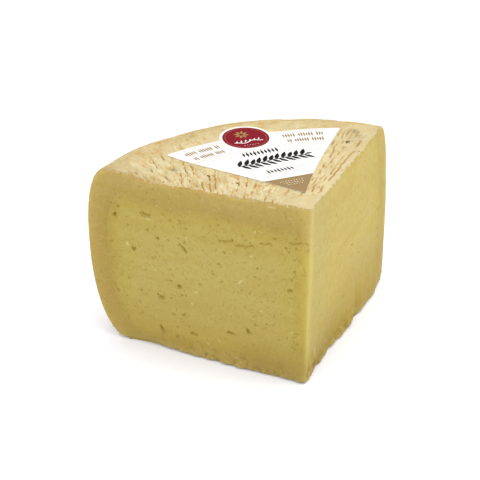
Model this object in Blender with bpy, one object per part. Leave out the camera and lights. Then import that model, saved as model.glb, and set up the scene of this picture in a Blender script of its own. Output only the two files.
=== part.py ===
"""A quarter wheel of aged sheep's cheese, cut by hand, with a paper label on its top rind.

The piece stands on the wheel's flat bottom, with its centre edge towards -Y and its rind
towards +Y, and the origin lies under its middle. Lengths are metres, written as millimetres
times MM. A place on the top is given from the axis of the whole wheel. A place on a cut is
given by its distance from the centre edge and its height.
"""

import math

import bpy
import numpy as np
from mathutils import Vector, noise
from mathutils.geometry import delaunay_2d_cdt

MM = 0.001
NO_LENGTH = 1e-6 * MM
LEAST_HEIGHT = 0.05 * MM  # of any point above the flat bottom

# The wheel, and the piece cut from it
WHEEL_RADIUS = 150 * MM
BACK_BULGE = 3.9 * MM  # how much fuller the rind is halfway between the cuts
BACK_SKEW = 1.4 * MM  # and how much of that lies nearer the right cut
HEIGHT = 115.3 * MM
HALF_ANGLE = math.radians(43.7)
WHEEL_AXIS = np.array((0.3, -76.2)) * MM
CUT_LEAN = np.array((-3.0, -1.7)) * MM  # how far the centre edge strays at its foot
BACK = WHEEL_RADIUS * (1 + HALF_ANGLE)  # the way from the centre edge to the back's middle

# The rind's profile at the left and at the right cut. A roundness of 2 is an ellipse, and more
# is squarer.
FOOT_RADII = (125 * MM, 134 * MM)
BELLY_RADII = (150.5 * MM, 150.5 * MM)
BELLY_HEIGHTS = (61 * MM, 47 * MM)
CREST_RADII = (131 * MM, 129 * MM)
FOOT_ROUNDNESS = (2.0, 3.2)
SHOULDER_ROUNDNESS = (2.7, 2.3)
PROFILE_POINTS = 160

# Soft edges: how far from the edge each rounding starts
CENTRE_EDGE_REACH = 2.2 * MM
OUTER_EDGE_REACH = 2.5 * MM
TOP_EDGE_WEAR = 0.3 * MM

# The knife's waves on the cuts and the cloth's on the rind
WAVE_SIZE = 34 * MM
WAVE_DEPTH = 0.7 * MM
CREST_LEVEL = 0.97  # the share of the height from which the top's marks show on the skin

# The top: its slope across the piece, the raised rim and the rush marks of the mould
TOP_SLOPE = 0.008
RIM_RISE = 1.95 * MM
RIM_SLOPE = -0.007
RIM_RISE_FROM = 97 * MM
RIM_RISE_TO = 131 * MM
GROOVE_PITCH = 4.2 * MM
GROOVE_DEPTH = 1.2 * MM
GROOVE_HALF_WIDTH = 0.7 * MM
GROOVE_BANK = 1.3 * MM  # from a groove's middle to level ground
GROOVE_BEND = 1.1 * MM
BEND_LENGTH = 16 * MM
MARKS_FROM, MARKS_TO = 8 * MM, 127 * MM  # from the wheel's axis
MARKS_FADE = 12 * MM
FIRST_GROOVE, LAST_GROOVE = 4.5 * MM, 130 * MM  # their starts, from the centre edge
STRIP = 30 * MM  # the width beside each cut where the marks are deep
# Distance of a groove's start from the centre edge, and the length of its dashes
DASHES = ((0, 36), (20, 30), (32, 13), (150, 13))
FULL_GROOVE_DASH = 17 * MM  # grooves with longer dashes, beside the right cut, are fuller
FULL_GROOVE_BONUS = 0.25
DASH_BIAS, DASH_SOFTNESS = 0.22, 0.35  # more bias makes the gaps between dashes shorter
# Distance of a groove's start from the centre edge, and the way it runs, from +X
GROOVE_FAN = ((0, 46), (25, 50), (50, 70), (80, 80), (100, 106), (130, 118))

# The foot of the cuts: rounded under, crumbled, and spread a little on the right
CRUMB_HEIGHT = 14 * MM
CRUMB_DEPTH = 1.7 * MM
CRUMB_SIZES = (9 * MM, 4.2 * MM)
SMOOTH_FOOT_FROM = 104 * MM  # the left cut's foot is clean beyond this
FOOT_HEIGHT = 9 * MM
# Distance from the centre edge, and how far the left foot is tucked in, or the right one spread
FOOT_TUCK = ((0, -0.5), (20, -0.5), (50, -1), (85, -0.5), (107, 1), (130, 4.5), (150, 3))
SPREAD_HEIGHT = 26 * MM
FOOT_SPREAD = ((0, -0.5), (27, 0), (45, -1.5), (58, 0.5), (80, 3), (91, -0.5), (99, 3), (126, 3.5), (150, 1))

# The dozen largest eyes of the left cut: distance from the centre edge, height, width and
# tallness in millimetres, and tilt in degrees
EYES = (
    (109, 91, 7, 3, -10),
    (130, 86, 3, 3, 40),
    (100, 77, 3, 2, -15),
    (82, 73, 7, 2, -50),
    (117, 66, 3, 3, -20),
    (86, 47, 4, 3, -30),
    (100, 37, 4, 3, 10),
    (105, 14, 3, 5, 15),
    (81, 16, 6, 2, -5),
    (53, 23, 7, 2, 5),
    (40, 27, 3, 4, 30),
    (12, 61, 4, 3, 10),
)
# Cracks under the rind of the left cut: distance of their middle from the centre edge, height
# and length in millimetres
CRACKS = ((8, 92, 11), (28, 88, 6), (42, 84, 13), (54, 85, 8))
CRACK_TALLNESS = 1.8
CRACK_TILT = 8
HOLLOWS = EYES + tuple((*crack, CRACK_TALLNESS, CRACK_TILT) for crack in CRACKS)
EYE_DEPTH = 0.45  # of the smaller side
EYE_RINGS = (0.0, 0.62, 1.08)
EYE_CLEARANCE = 1.5  # where the plain facets stop, as a share of the eye's radius
EYE_SPOKES = 7

# The label, from the wheel's axis
LABEL_TIP = np.array((5.8, 22.0)) * MM
LABEL_SIDE_ANGLES = (math.radians(53.6), math.radians(125.0))
LABEL_SIDE_BOWS = np.array((2.0, 0.6)) * MM  # how far its right and left side curve inwards
LABEL_CORNERS = (1.5 * MM, 1.5 * MM, 0.4 * MM)  # rounding of its tip, right and left corner
LABEL_ARC_CENTRE = np.array((5, -42.1)) * MM
LABEL_ARC_RADIUS = 156.8 * MM
MEDALLION_CENTRE = np.array((3.7, 112)) * MM
MEDALLION_RADII = np.array((16.8, 17)) * MM
LABEL_THICKNESS = 0.4 * MM
LABEL_GAP = 0.35 * MM
LABEL_SHELTER = 2.5 * MM  # how far outside its edge the grooves fade out

# Spacing of the facets
FINE = 2.3 * MM
CUT_EDGE_STEP = 3 * MM
UPRIGHT_STEP = 4.6 * MM
RIND_EDGE_STEP = 6 * MM
GROOVE_STEP = 3 * MM
GROOVE_POINTS_APART = 0.95 * MM
LABEL_STEP = 6.5 * MM
CORNER_POINTS = 3
ARC_POINTS = 24
MEDALLION_POINTS = 40
FLAT_STEP = 22 * MM
BESIDE_CENTRE_EDGE = 0.45 * CENTRE_EDGE_REACH
UPRIGHT_COLUMNS = (
    BESIDE_CENTRE_EDGE,
    WHEEL_RADIUS - OUTER_EDGE_REACH,
    WHEEL_RADIUS,
    WHEEL_RADIUS + OUTER_EDGE_REACH,
)


def ease(x):
    x = np.clip(x, 0, 1)
    return x * x * (3 - 2 * x)


def lumps(points, size, seed):
    """Smooth noise from -1 to 1 at each point, with lumps about this size."""
    return np.array([noise.noise(Vector(p)) for p in points / size + seed])


def table(rows, distance):
    """Reads a table of (distance, value) in millimetres at these distances."""
    at, value = np.transpose(rows)
    return np.interp(distance, at * MM, value)


def bulge(way, roundness):
    """A quarter of a superellipse, from 1 where the way is 0 down to 0 where it is 1."""
    return (1 - np.clip(way, 0, 1) ** roundness) ** (1 / roundness)


def profile_radius(side, z):
    """The rind's radius at these heights, at the left cut (side 0) or the right cut (side 1)."""
    belly_height, belly = BELLY_HEIGHTS[side], BELLY_RADII[side]
    low = bulge(1 - z / belly_height, FOOT_ROUNDNESS[side])
    high = bulge((z - belly_height) / (HEIGHT - belly_height), SHOULDER_ROUNDNESS[side])
    below = FOOT_RADII[side] + (belly - FOOT_RADII[side]) * low
    above = CREST_RADII[side] + (belly - CREST_RADII[side]) * high
    return np.where(z < belly_height, below, above)


def rind_outline():
    """Rows of height, left radius and right radius, and the way up along the left cut's ones."""
    z = HEIGHT * (1 - np.cos(np.linspace(0, math.pi, PROFILE_POINTS))) / 2
    left, right = (profile_radius(side, z) for side in (0, 1))
    strides = np.hypot(np.diff(z), np.diff(left))
    return np.column_stack((z, left, right)), np.concatenate(([0], np.cumsum(strides)))


OUTLINE, OUTLINE_WAY = rind_outline()
SKIN_TOP = OUTLINE_WAY[-1]


def rind_radius(angle, left, right):
    """The wheel is fuller at the left cut above and at the right cut below."""
    share = (angle + HALF_ANGLE) / (2 * HALF_ANGLE)
    skew = BACK_SKEW * np.sin(2 * math.pi * share)
    return left + (right - left) * ease(share) + BACK_BULGE * np.sin(math.pi * share) - skew


def sharp_skin(u, v):
    """The skin round the piece with sharp edges. u is the way round from the centre edge, with
    the left cut below 0, the right cut above it and the rind past WHEEL_RADIUS; v goes up."""
    u = (u + BACK) % (2 * BACK) - BACK
    z, left, right = (np.interp(v, OUTLINE_WAY, OUTLINE[:, k]) for k in range(3))
    past = np.maximum(np.abs(u) - WHEEL_RADIUS, 0)
    angle = np.sign(u) * (HALF_ANGLE - past / WHEEL_RADIUS)
    rim = rind_radius(angle, left, right)[..., None] * np.stack((np.sin(angle), np.cos(angle)), -1)
    centre = (1 - z / HEIGHT)[..., None] * CUT_LEAN
    share = np.minimum(np.abs(u) / WHEEL_RADIUS, 1)[..., None]
    return np.concatenate((centre + (rim - centre) * share, z[..., None]), -1)


def smooth_skin(u, v):
    """sharp_skin with its three upright edges rounded, each by one quadratic curve."""
    point = sharp_skin(u, v)
    edges = ((-WHEEL_RADIUS, OUTER_EDGE_REACH), (0, CENTRE_EDGE_REACH), (WHEEL_RADIUS, OUTER_EDGE_REACH))
    for edge, reach in edges:
        t = np.clip((u - edge + reach) / (2 * reach), 0, 1)[..., None]
        before, tip, after = (sharp_skin(np.full_like(u, edge + s * reach), v) for s in (-1, 0, 1))
        arc = (1 - t) ** 2 * before + 2 * t * (1 - t) * tip + t**2 * after
        point = np.where((t > 0) & (t < 1), arc, point)
    return point


def skin_normal(u, v):
    near = 0.2 * MM
    along = smooth_skin(u + near, v) - smooth_skin(u - near, v)
    up = smooth_skin(u, np.minimum(v + near, SKIN_TOP)) - smooth_skin(u, np.maximum(v - near, 0))
    normal = np.cross(along, up)
    return normal / np.linalg.norm(normal, axis=-1, keepdims=True)


def top_form(xy):
    """How far the top stands above HEIGHT, without its marks."""
    rim = ease((np.hypot(*xy.T) - RIM_RISE_FROM) / (RIM_RISE_TO - RIM_RISE_FROM))
    return TOP_SLOPE * xy[:, 0] + (RIM_RISE + RIM_SLOPE * xy[:, 0]) * rim


class LabelSide:
    """A side of the label, from its tip to its arc, that curves inwards a little."""

    def __init__(self, angle, bow, turn):
        self.way = np.array((math.cos(angle), math.sin(angle)))
        self.inward = turn * np.array((-self.way[1], self.way[0]))
        self.bow = bow
        rel = LABEL_TIP - LABEL_ARC_CENTRE
        back = rel @ self.way
        self.length = math.sqrt(back**2 - rel @ rel + LABEL_ARC_RADIUS**2) - back

    def bend(self, share):
        return 4 * self.bow * share * (1 - share)

    def points(self, share):
        along = np.outer(share * self.length, self.way)
        return LABEL_TIP + along + np.outer(self.bend(share), self.inward)

    def depth(self, xy):
        """How far inside this side each point lies."""
        rel = xy - LABEL_TIP
        share = np.clip(rel @ self.way / self.length, 0, 1)
        return rel @ self.inward - self.bend(share)


LABEL_SIDES = [LabelSide(*side) for side in zip(LABEL_SIDE_ANGLES, LABEL_SIDE_BOWS, (1, -1))]


def label_shelter(xy):
    """1 under the label and 0 a little outside it, on the medallion as well."""
    inside_arc = LABEL_ARC_RADIUS - np.hypot(*(xy - LABEL_ARC_CENTRE).T)
    in_wedge = np.min([inside_arc, *(side.depth(xy) for side in LABEL_SIDES)], axis=0)
    off_medallion = np.hypot(*((xy - MEDALLION_CENTRE) / MEDALLION_RADII).T) - 1
    in_medallion = -off_medallion * MEDALLION_RADII[0]
    return ease(1 + np.maximum(in_wedge, in_medallion) / LABEL_SHELTER)


class Groove:
    """One broken line of the mould's rush marks, from the left cut towards the rind."""

    def __init__(self, number, start):
        way = math.radians(table(GROOVE_FAN, start))
        self.number = number
        self.dash = table(DASHES, start) * MM
        self.start = start * np.array((-math.sin(HALF_ANGLE), math.cos(HALF_ANGLE)))
        self.along = np.array((math.cos(way), math.sin(way)))
        self.across = np.array((-self.along[1], self.along[0]))

    def waver(self, s, length, seed):
        """Noise along this groove alone, with waves about this long."""
        own_row = np.full_like(s, 3.7 * self.number * length)
        return lumps(np.stack((s, own_row, np.zeros_like(s)), -1), length, seed)

    def wobble(self, s):
        return GROOVE_BEND * self.waver(s, BEND_LENGTH, 5.3)

    def strength(self, s):
        """0 between the dashes and up to 1 in them."""
        fuller = FULL_GROOVE_BONUS * (self.dash > FULL_GROOVE_DASH)
        return ease((self.waver(s, self.dash, 2.7) + DASH_BIAS + fuller) / DASH_SOFTNESS)

    def points(self, s, aside):
        return self.start + np.outer(s, self.along) + np.outer(self.wobble(s) + aside, self.across)

    def depth(self, xy):
        s = (xy - self.start) @ self.along
        aside = (xy - self.start) @ self.across
        found = np.zeros(len(xy))
        near = (np.abs(aside) < GROOVE_PITCH) & (s > -GROOVE_BANK)
        off = aside[near] - self.wobble(s[near])
        found[near] = np.exp(-((off / GROOVE_HALF_WIDTH) ** 2)) * self.strength(s[near])
        return found


def grooves():
    starts = np.arange(FIRST_GROOVE, LAST_GROOVE, GROOVE_PITCH)
    return [Groove(number, start) for number, start in enumerate(starts)]


def cut_distances(xy):
    """How far each point of the top lies inside the left cut and inside the right cut."""
    sine, cosine = math.sin(HALF_ANGLE), math.cos(HALF_ANGLE)
    return xy @ np.array((cosine, sine)), xy @ np.array((-cosine, sine))


def top_relief(xy):
    """The marks of the mould, pressed into the top."""
    left, right = cut_distances(xy)
    in_strip = 1 - ease((np.minimum(left, right) - STRIP) / (0.5 * STRIP))
    radius = np.hypot(*xy.T)
    fade = ease((radius - MARKS_FROM) / MARKS_FADE) * ease((MARKS_TO - radius) / MARKS_FADE)
    marks = np.max([groove.depth(xy) for groove in grooves()], axis=0)
    return -GROOVE_DEPTH * marks * in_strip * fade * (1 - label_shelter(xy))


def eye_frame(eye, distance, height):
    """Places of a cut in an eye's own frame, where its rim is the unit circle."""
    far, high, width, tallness, tilt = eye
    turn = math.radians(tilt)
    x, y = far * MM - distance, height - high * MM
    across = (x * math.cos(turn) + y * math.sin(turn)) / (width / 2 * MM)
    up = (y * math.cos(turn) - x * math.sin(turn)) / (tallness / 2 * MM)
    return across, up


def eye_points(eye):
    """Points in rings on an eye of the left cut, as (distance from the centre edge, height)."""
    far, high, width, tallness, tilt = eye
    turn = math.radians(tilt)
    made = []
    for ring in EYE_RINGS:
        for spoke in range(EYE_SPOKES if ring else 1):
            angle = 2 * math.pi * (spoke + ring) / EYE_SPOKES
            x = ring * math.cos(angle) * width / 2 * MM
            y = ring * math.sin(angle) * tallness / 2 * MM
            along = x * math.cos(turn) - y * math.sin(turn)
            up = x * math.sin(turn) + y * math.cos(turn)
            made.append((far * MM - along, high * MM + up))
    return np.array(made)


def eye_relief(distance, height):
    depth = np.zeros(len(distance))
    for eye in HOLLOWS:
        across, up = eye_frame(eye, distance, height)
        bowl = np.sqrt(np.clip(1 - across**2 - up**2, 0, 1))
        depth = np.maximum(depth, EYE_DEPTH * min(eye[2:4]) * MM * bowl)
    return depth


def cut_relief(u, point):
    """How far the cuts stand out of their planes, at these places of the skin."""
    distance, height = np.abs(u), point[:, 2]
    on_cut = ease((WHEEL_RADIUS - distance) / (4 * MM))
    left = u < 0
    tuck = np.where(left, table(FOOT_TUCK, distance), 0) * MM
    relief = -tuck * (1 - ease(height / FOOT_HEIGHT))
    spread = table(FOOT_SPREAD, distance) * MM * (1 - ease(height / SPREAD_HEIGHT))
    relief += np.where(left, 0, spread)
    crumbly = 1 - ease(height / CRUMB_HEIGHT)
    clean = np.where(left, ease((distance - SMOOTH_FOOT_FROM) / CRUMB_HEIGHT), 0)
    crumbly *= (1 - clean) * ease(distance / (2 * CENTRE_EDGE_REACH))
    crumbs = lumps(point, CRUMB_SIZES[0], 1.1) + 0.8 * lumps(point, CRUMB_SIZES[1], 7.9)
    relief += CRUMB_DEPTH * crumbly * np.minimum(crumbs, 0.4)
    relief -= np.where(left, eye_relief(distance, height), 0)
    return relief * on_cut


def carved_skin(u, v):
    """The skin as it really is: hand-cut, lumpy, crumbled at its foot and worn at its top edge."""
    point, normal = smooth_skin(u, v), skin_normal(u, v)
    level = point[:, 2] / HEIGHT
    out = cut_relief(u, point)
    out += WAVE_DEPTH * lumps(point, WAVE_SIZE, 3.3) * ease(level / 0.15)
    form = top_form(point[:, :2]) * level
    marks = top_relief(point[:, :2]) * ease((level - CREST_LEVEL) / (1 - CREST_LEVEL))
    on_top_edge = (v > SKIN_TOP - NO_LENGTH) & (np.abs(u) < WHEEL_RADIUS)
    out -= TOP_EDGE_WEAR * on_top_edge
    made = point + normal * out[:, None]
    made[:, 2] += form + marks - TOP_EDGE_WEAR * on_top_edge
    made[:, 2] = np.where(v < NO_LENGTH, 0, np.maximum(made[:, 2], LEAST_HEIGHT))
    return made


def nested_lattice(low, high, wanted):
    """Points of a triangular lattice, thinned out by halves to the spacing wanted at each."""
    rise = FINE * math.sqrt(0.75)
    rows, columns = int((high[1] - low[1]) / rise) + 1, int((high[0] - low[0]) / FINE) + 2
    row, column = np.mgrid[0:rows, 0:columns]
    slanted = column - row // 2
    points = np.stack((low[0] + FINE * (column + row % 2 / 2), low[1] + rise * row), -1)
    level = np.zeros(row.shape, int)
    for doubling in (2, 4, 8):
        level += (row % doubling == 0) & (slanted % doubling == 0)
    points, level = points.reshape(-1, 2), level.ravel()
    spacing = wanted(points)
    kept = level >= np.clip(np.floor(np.log2(spacing / FINE)), 0, 3)
    return points[kept], spacing[kept]


def triangles(points, rim):
    """Delaunay triangles of flat points within a closed rim of some of them, anticlockwise."""
    edges = [(int(a), int(b)) for a, b in zip(rim, np.roll(rim, -1))]
    found = delaunay_2d_cdt([Vector(p) for p in points / MM], edges, [], 1, 1e-5)
    faces, sources = found[2], found[3]
    return np.array([[sources[corner][0] for corner in face] for face in faces])


def spaced(points, gap):
    """The points in their order, less any that comes closer than the gap to an earlier one."""
    kept = points[:1]
    for point in points[1:]:
        if np.hypot(*(kept - point).T).min() > gap:
            kept = np.vstack((kept, point))
    return kept


def steps(start, end, step):
    return np.linspace(start, end, max(2, round(abs(end - start) / step) + 1))


def round_the_skin():
    """Places along u of the points that the skin shares with the top and with the bottom."""
    cut = steps(0, WHEEL_RADIUS - OUTER_EDGE_REACH, CUT_EDGE_STEP)[1:]
    corner = WHEEL_RADIUS + np.array((0, OUTER_EDGE_REACH))
    rind = steps(corner[-1], BACK, RIND_EDGE_STEP)[1:]
    half = np.concatenate((cut, corner, rind))
    return np.concatenate((-half[::-1], (-BESIDE_CENTRE_EDGE, BESIDE_CENTRE_EDGE), half))


def skin_spacing(points):
    u, v = np.abs(points[:, 0]), points[:, 1]
    near_foot = (u < WHEEL_RADIUS) & (v < CRUMB_HEIGHT)
    near_rim = (u > WHEEL_RADIUS) & (np.minimum(v, SKIN_TOP - v) < CRUMB_HEIGHT)
    return np.select([near_foot, near_rim], [FINE, 2 * FINE], 4 * FINE)


def inside_the_skin():
    points, spacing = nested_lattice((-BACK, 0), (BACK, SKIN_TOP), skin_spacing)
    margin = np.min((points[:, 1], SKIN_TOP - points[:, 1], BACK - np.abs(points[:, 0])), axis=0)
    points = points[margin > 0.5 * np.minimum(spacing, 2 * FINE)]
    made = []
    for eye in HOLLOWS:
        height = np.interp(points[:, 1], OUTLINE_WAY, OUTLINE[:, 0])
        across, up = eye_frame(eye, -points[:, 0], height)
        points = points[np.hypot(across, up) > EYE_CLEARANCE]
        rings = eye_points(eye)
        way_up = np.interp(rings[:, 1], OUTLINE[:, 0], OUTLINE_WAY)
        made.append(np.stack((-rings[:, 0], way_up), -1))
    upright = steps(0, SKIN_TOP, UPRIGHT_STEP)[1:-1]
    for column in UPRIGHT_COLUMNS:
        made += [np.stack((np.full_like(upright, u), upright), -1) for u in (-column, column)]
        points = points[np.abs(np.abs(points[:, 0]) - column) > 0.5 * UPRIGHT_STEP]
    return np.vstack((points, *made))


def over_the_quarter(wanted):
    """A nested lattice over the plan of the piece."""
    return nested_lattice((-WHEEL_RADIUS, 0), (WHEEL_RADIUS, WHEEL_RADIUS), wanted)


def inside_quarter(xy, radius):
    """How far each point lies inside a quarter of this radius."""
    return np.minimum(np.minimum(*cut_distances(xy)), radius - np.hypot(*xy.T))


def in_the_strips(xy):
    return (np.minimum(*cut_distances(xy)) < STRIP) & (label_shelter(xy) < 0.5)


def inside_the_top(radius):
    """Points across the top within this radius: on the grooves, and spread between them."""
    s = np.arange(0, 2 * WHEEL_RADIUS, GROOVE_STEP)
    rows = [
        groove.points(s[groove.strength(s) > 0.3], aside)
        for groove in grooves()
        for aside in (-GROOVE_BANK, 0, GROOVE_BANK)
    ]
    on_grooves = np.vstack(rows)
    clear = inside_quarter(on_grooves, min(radius, MARKS_TO)) > 0.5 * CUT_EDGE_STEP
    on_grooves = spaced(on_grooves[clear & in_the_strips(on_grooves)], GROOVE_POINTS_APART)
    spread, spacing = over_the_quarter(lambda xy: np.where(in_the_strips(xy), 2, 4) * FINE)
    spread = spread[inside_quarter(spread, radius) > 0.4 * spacing]
    gaps = np.min(np.linalg.norm(spread[:, None] - on_grooves[None], axis=2), axis=1)
    return np.vstack((on_grooves, spread[gaps > FINE]))


def inside_the_bottom(radius):
    points, _ = over_the_quarter(lambda xy: np.full(len(xy), FLAT_STEP))
    return points[inside_quarter(points, radius) > FLAT_STEP / 2]


def solid(name, points, faces, material):
    mesh = bpy.data.meshes.new(name)
    mesh.from_pydata(points.tolist(), [], faces.tolist())
    mesh.materials.append(material)
    mesh.shade_smooth()
    mesh.set_sharp_from_angle(angle=math.radians(40))
    made = bpy.data.objects.new(name, mesh)
    bpy.context.scene.collection.objects.link(made)
    made.location = (*WHEEL_AXIS, 0)
    return made


def cheese(material):
    """One closed skin: the side all round, the top with its grooves, and the flat bottom."""
    edge, up = round_the_skin(), steps(0, SKIN_TOP, RIND_EDGE_STEP)[1:-1]
    count, rise = len(edge), len(up)
    foot = np.stack((edge, np.zeros(count)), -1)
    crest = np.stack((edge, np.full(count, SKIN_TOP)), -1)
    seams = [np.stack((np.full(rise, end), up), -1) for end in (-BACK, BACK)]
    flat = np.vstack((foot, crest, *seams, inside_the_skin()))
    body = carved_skin(flat[:, 0], flat[:, 1])

    # The skin's two ends are one seam, so its last points are taken from its first ones
    same = np.arange(len(flat))
    same[count - 1], same[2 * count - 1] = 0, count
    same[2 * count + rise : 2 * count + 2 * rise] = np.arange(2 * count, 2 * count + rise)
    right = 2 * count + rise + np.arange(rise)
    left = 2 * count + np.arange(rise)
    rim = (np.arange(count), right, np.arange(2 * count - 1, count - 1, -1), left[::-1])
    faces = [same[triangles(flat, np.concatenate(rim))]]

    for level, inside, turned in ((0, inside_the_bottom, True), (1, inside_the_top, False)):
        loop = np.arange(level * count, (level + 1) * count - 1)
        plan = smooth_skin(edge[:-1], np.full(count - 1, level * SKIN_TOP))[:, :2]
        within = inside(np.hypot(*plan.T).max() - 2 * MM)
        number = np.concatenate((loop, np.arange(len(within)) + len(body)))
        found = number[triangles(np.vstack((plan, within)), np.arange(count - 1))]
        faces.append(found[:, ::-1] if turned else found)
        height = (HEIGHT + top_form(within) + top_relief(within)) if level else np.zeros(len(within))
        body = np.vstack((body, np.column_stack((within, height))))

    faces = np.vstack(faces)
    used, faces = np.unique(faces, return_inverse=True)
    return solid("pecorino_wedge", body[used], faces.reshape(-1, 3), material)


def soft_corner(before, corner, after, reach):
    """A rounded corner of the label, as one quadratic curve."""
    ways = [(p - corner) / np.linalg.norm(p - corner) for p in (before, after)]
    start, end = (corner + reach * way for way in ways)
    t = np.linspace(0, 1, CORNER_POINTS)[:, None]
    return (1 - t) ** 2 * start + 2 * t * (1 - t) * corner + t**2 * end


def label_outline():
    """The label's edge, anticlockwise from its tip: two bowed sides, and an arc that the round
    medallion breaks. Its three corners are rounded."""
    share = steps(0, 1, LABEL_STEP / LABEL_SIDES[0].length)
    right_side, left_side = (side.points(share) for side in LABEL_SIDES)
    corners = np.array((LABEL_TIP, right_side[-1], left_side[-1]))
    first, last = (math.atan2(*(corner - LABEL_ARC_CENTRE)[::-1]) for corner in corners[1:])
    arc_angles = np.linspace(first, last, ARC_POINTS)
    arc = LABEL_ARC_CENTRE + LABEL_ARC_RADIUS * np.stack((np.cos(arc_angles), np.sin(arc_angles)), -1)
    round_angles = np.linspace(0, 2 * math.pi, MEDALLION_POINTS, endpoint=False)
    medallion = np.stack((np.cos(round_angles), np.sin(round_angles)), -1)
    medallion = MEDALLION_CENTRE + MEDALLION_RADII * medallion
    clear_of_medallion = np.hypot(*((arc - MEDALLION_CENTRE) / MEDALLION_RADII).T) > 1.08
    proud_of_arc = np.hypot(*(medallion - LABEL_ARC_CENTRE).T) > LABEL_ARC_RADIUS + 0.5 * MM
    far_edge = np.vstack((arc[clear_of_medallion], medallion[proud_of_arc]))
    order = np.argsort(np.arctan2(*(far_edge - LABEL_ARC_CENTRE).T[::-1]))
    rim = []
    for path in (right_side, far_edge[order], left_side[::-1]):
        for corner, reach in zip(corners, LABEL_CORNERS):
            path = path[np.linalg.norm(path - corner, axis=1) > 1.5 * reach]
        rim.append(path)
    turns = [
        soft_corner(rim[k - 1][-1], corner, rim[k][0], reach)
        for k, (corner, reach) in enumerate(zip(corners, LABEL_CORNERS))
    ]
    return np.vstack([part for pair in zip(turns, rim) for part in pair])


def label(material):
    """A sheet of paper that follows the top, with its own thickness."""
    edge = label_outline()
    inside, _ = over_the_quarter(lambda xy: np.full(len(xy), 2 * FINE))
    inside = inside[label_shelter(inside) == 1]
    gaps = np.min(np.linalg.norm(inside[:, None] - edge[None], axis=2), axis=1)
    inside = inside[gaps > 0.5 * LABEL_STEP]
    flat = np.vstack((edge, inside))
    sheet = triangles(flat, np.arange(len(edge)))
    under = HEIGHT + top_form(flat) + LABEL_GAP
    points = np.vstack(
        (np.column_stack((flat, under)), np.column_stack((flat, under + LABEL_THICKNESS)))
    )
    rise = len(flat)
    start, end = np.arange(len(edge)), np.roll(np.arange(len(edge)), -1)
    walls = np.vstack(
        (
            np.column_stack((start, end, end + rise)),
            np.column_stack((start, end + rise, start + rise)),
        )
    )
    return solid("paper_label", points, np.vstack((sheet[:, ::-1], sheet + rise, walls)), material)


def material(name, colour, roughness):
    made = bpy.data.materials.new(name)
    made.use_nodes = True
    shader = made.node_tree.nodes["Principled BSDF"]
    shader.inputs["Base Color"].default_value = (*colour, 1)
    shader.inputs["Roughness"].default_value = roughness
    shader.inputs["Metallic"].default_value = 0
    return made


def main():
    for old in list(bpy.data.objects):
        bpy.data.objects.remove(old)
    cheese(material("cheese", (0.54, 0.42, 0.13), 0.5))
    label(material("paper", (0.9, 0.9, 0.88), 0.45))


main()
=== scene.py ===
"""The looks of a quarter wheel of aged sheep's cheese with a paper label, around its CAD frame.

Lengths are metres, written as millimetres times MM. A place on the top is given from the axis
of the whole wheel, and a place on a cut by its distance from the centre edge and its height.
The cheese and the label are made here on the forms of their CAD solids, with finer facets.
"""

import math

import bpy
import numpy as np
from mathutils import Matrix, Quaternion, Vector, noise
from mathutils.geometry import delaunay_2d_cdt


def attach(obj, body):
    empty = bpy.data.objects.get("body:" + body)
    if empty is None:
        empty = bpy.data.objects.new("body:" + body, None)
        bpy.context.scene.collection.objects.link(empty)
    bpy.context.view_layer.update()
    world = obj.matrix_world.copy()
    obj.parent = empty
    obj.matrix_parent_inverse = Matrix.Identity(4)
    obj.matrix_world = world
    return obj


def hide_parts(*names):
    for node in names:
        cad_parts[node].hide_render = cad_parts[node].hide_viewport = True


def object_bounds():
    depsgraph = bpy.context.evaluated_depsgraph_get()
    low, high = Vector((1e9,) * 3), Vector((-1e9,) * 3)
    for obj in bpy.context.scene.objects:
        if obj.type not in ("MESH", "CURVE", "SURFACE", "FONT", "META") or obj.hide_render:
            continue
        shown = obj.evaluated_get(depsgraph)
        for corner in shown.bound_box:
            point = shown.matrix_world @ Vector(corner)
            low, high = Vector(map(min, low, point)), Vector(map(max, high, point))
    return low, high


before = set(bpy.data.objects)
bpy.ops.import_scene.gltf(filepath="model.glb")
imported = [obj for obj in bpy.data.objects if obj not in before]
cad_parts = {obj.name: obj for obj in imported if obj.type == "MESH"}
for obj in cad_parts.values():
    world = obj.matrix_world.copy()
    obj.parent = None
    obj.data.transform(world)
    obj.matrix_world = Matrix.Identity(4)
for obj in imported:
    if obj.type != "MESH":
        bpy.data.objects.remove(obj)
CAD_BOX = [list(corner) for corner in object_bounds()]

MM = 0.001
NO_LENGTH = 1e-6 * MM
LEAST_HEIGHT = 0.05 * MM  # of any point above the flat bottom

# The wheel, and the piece cut from it
WHEEL_RADIUS = 150 * MM
BACK_BULGE = 3.9 * MM  # how much fuller the rind is halfway between the cuts
BACK_SKEW = 1.4 * MM  # and how much of that lies nearer the right cut
HEIGHT = 115.3 * MM
HALF_ANGLE = math.radians(43.7)
WHEEL_AXIS = np.array((0.3, -76.2)) * MM
CUT_LEAN = np.array((-3.0, -1.7)) * MM  # how far the centre edge strays at its foot
BACK = WHEEL_RADIUS * (1 + HALF_ANGLE)  # the way from the centre edge to the back's middle

# The rind's profile at the left and at the right cut. A roundness of 2 is an ellipse, and more
# is squarer.
FOOT_RADII = (125 * MM, 134 * MM)
BELLY_RADII = (150.5 * MM, 150.5 * MM)
BELLY_HEIGHTS = (61 * MM, 47 * MM)
CREST_RADII = (131 * MM, 129 * MM)
FOOT_ROUNDNESS = (2.0, 3.2)
SHOULDER_ROUNDNESS = (2.7, 2.3)
PROFILE_POINTS = 160

# Soft edges: how far from the edge each rounding starts
CENTRE_EDGE_REACH = 2.2 * MM
OUTER_EDGE_REACH = 2.5 * MM
TOP_EDGE_WEAR = 0.3 * MM
CUT_MARKS_FADE, EDGE_FADE = 4 * MM, 2 * MM  # how the marks of the cuts and the rind fade out

# The knife's waves on the cuts and the cloth's on the rind
WAVE_SIZE = 34 * MM
WAVE_DEPTH = 0.7 * MM

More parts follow.
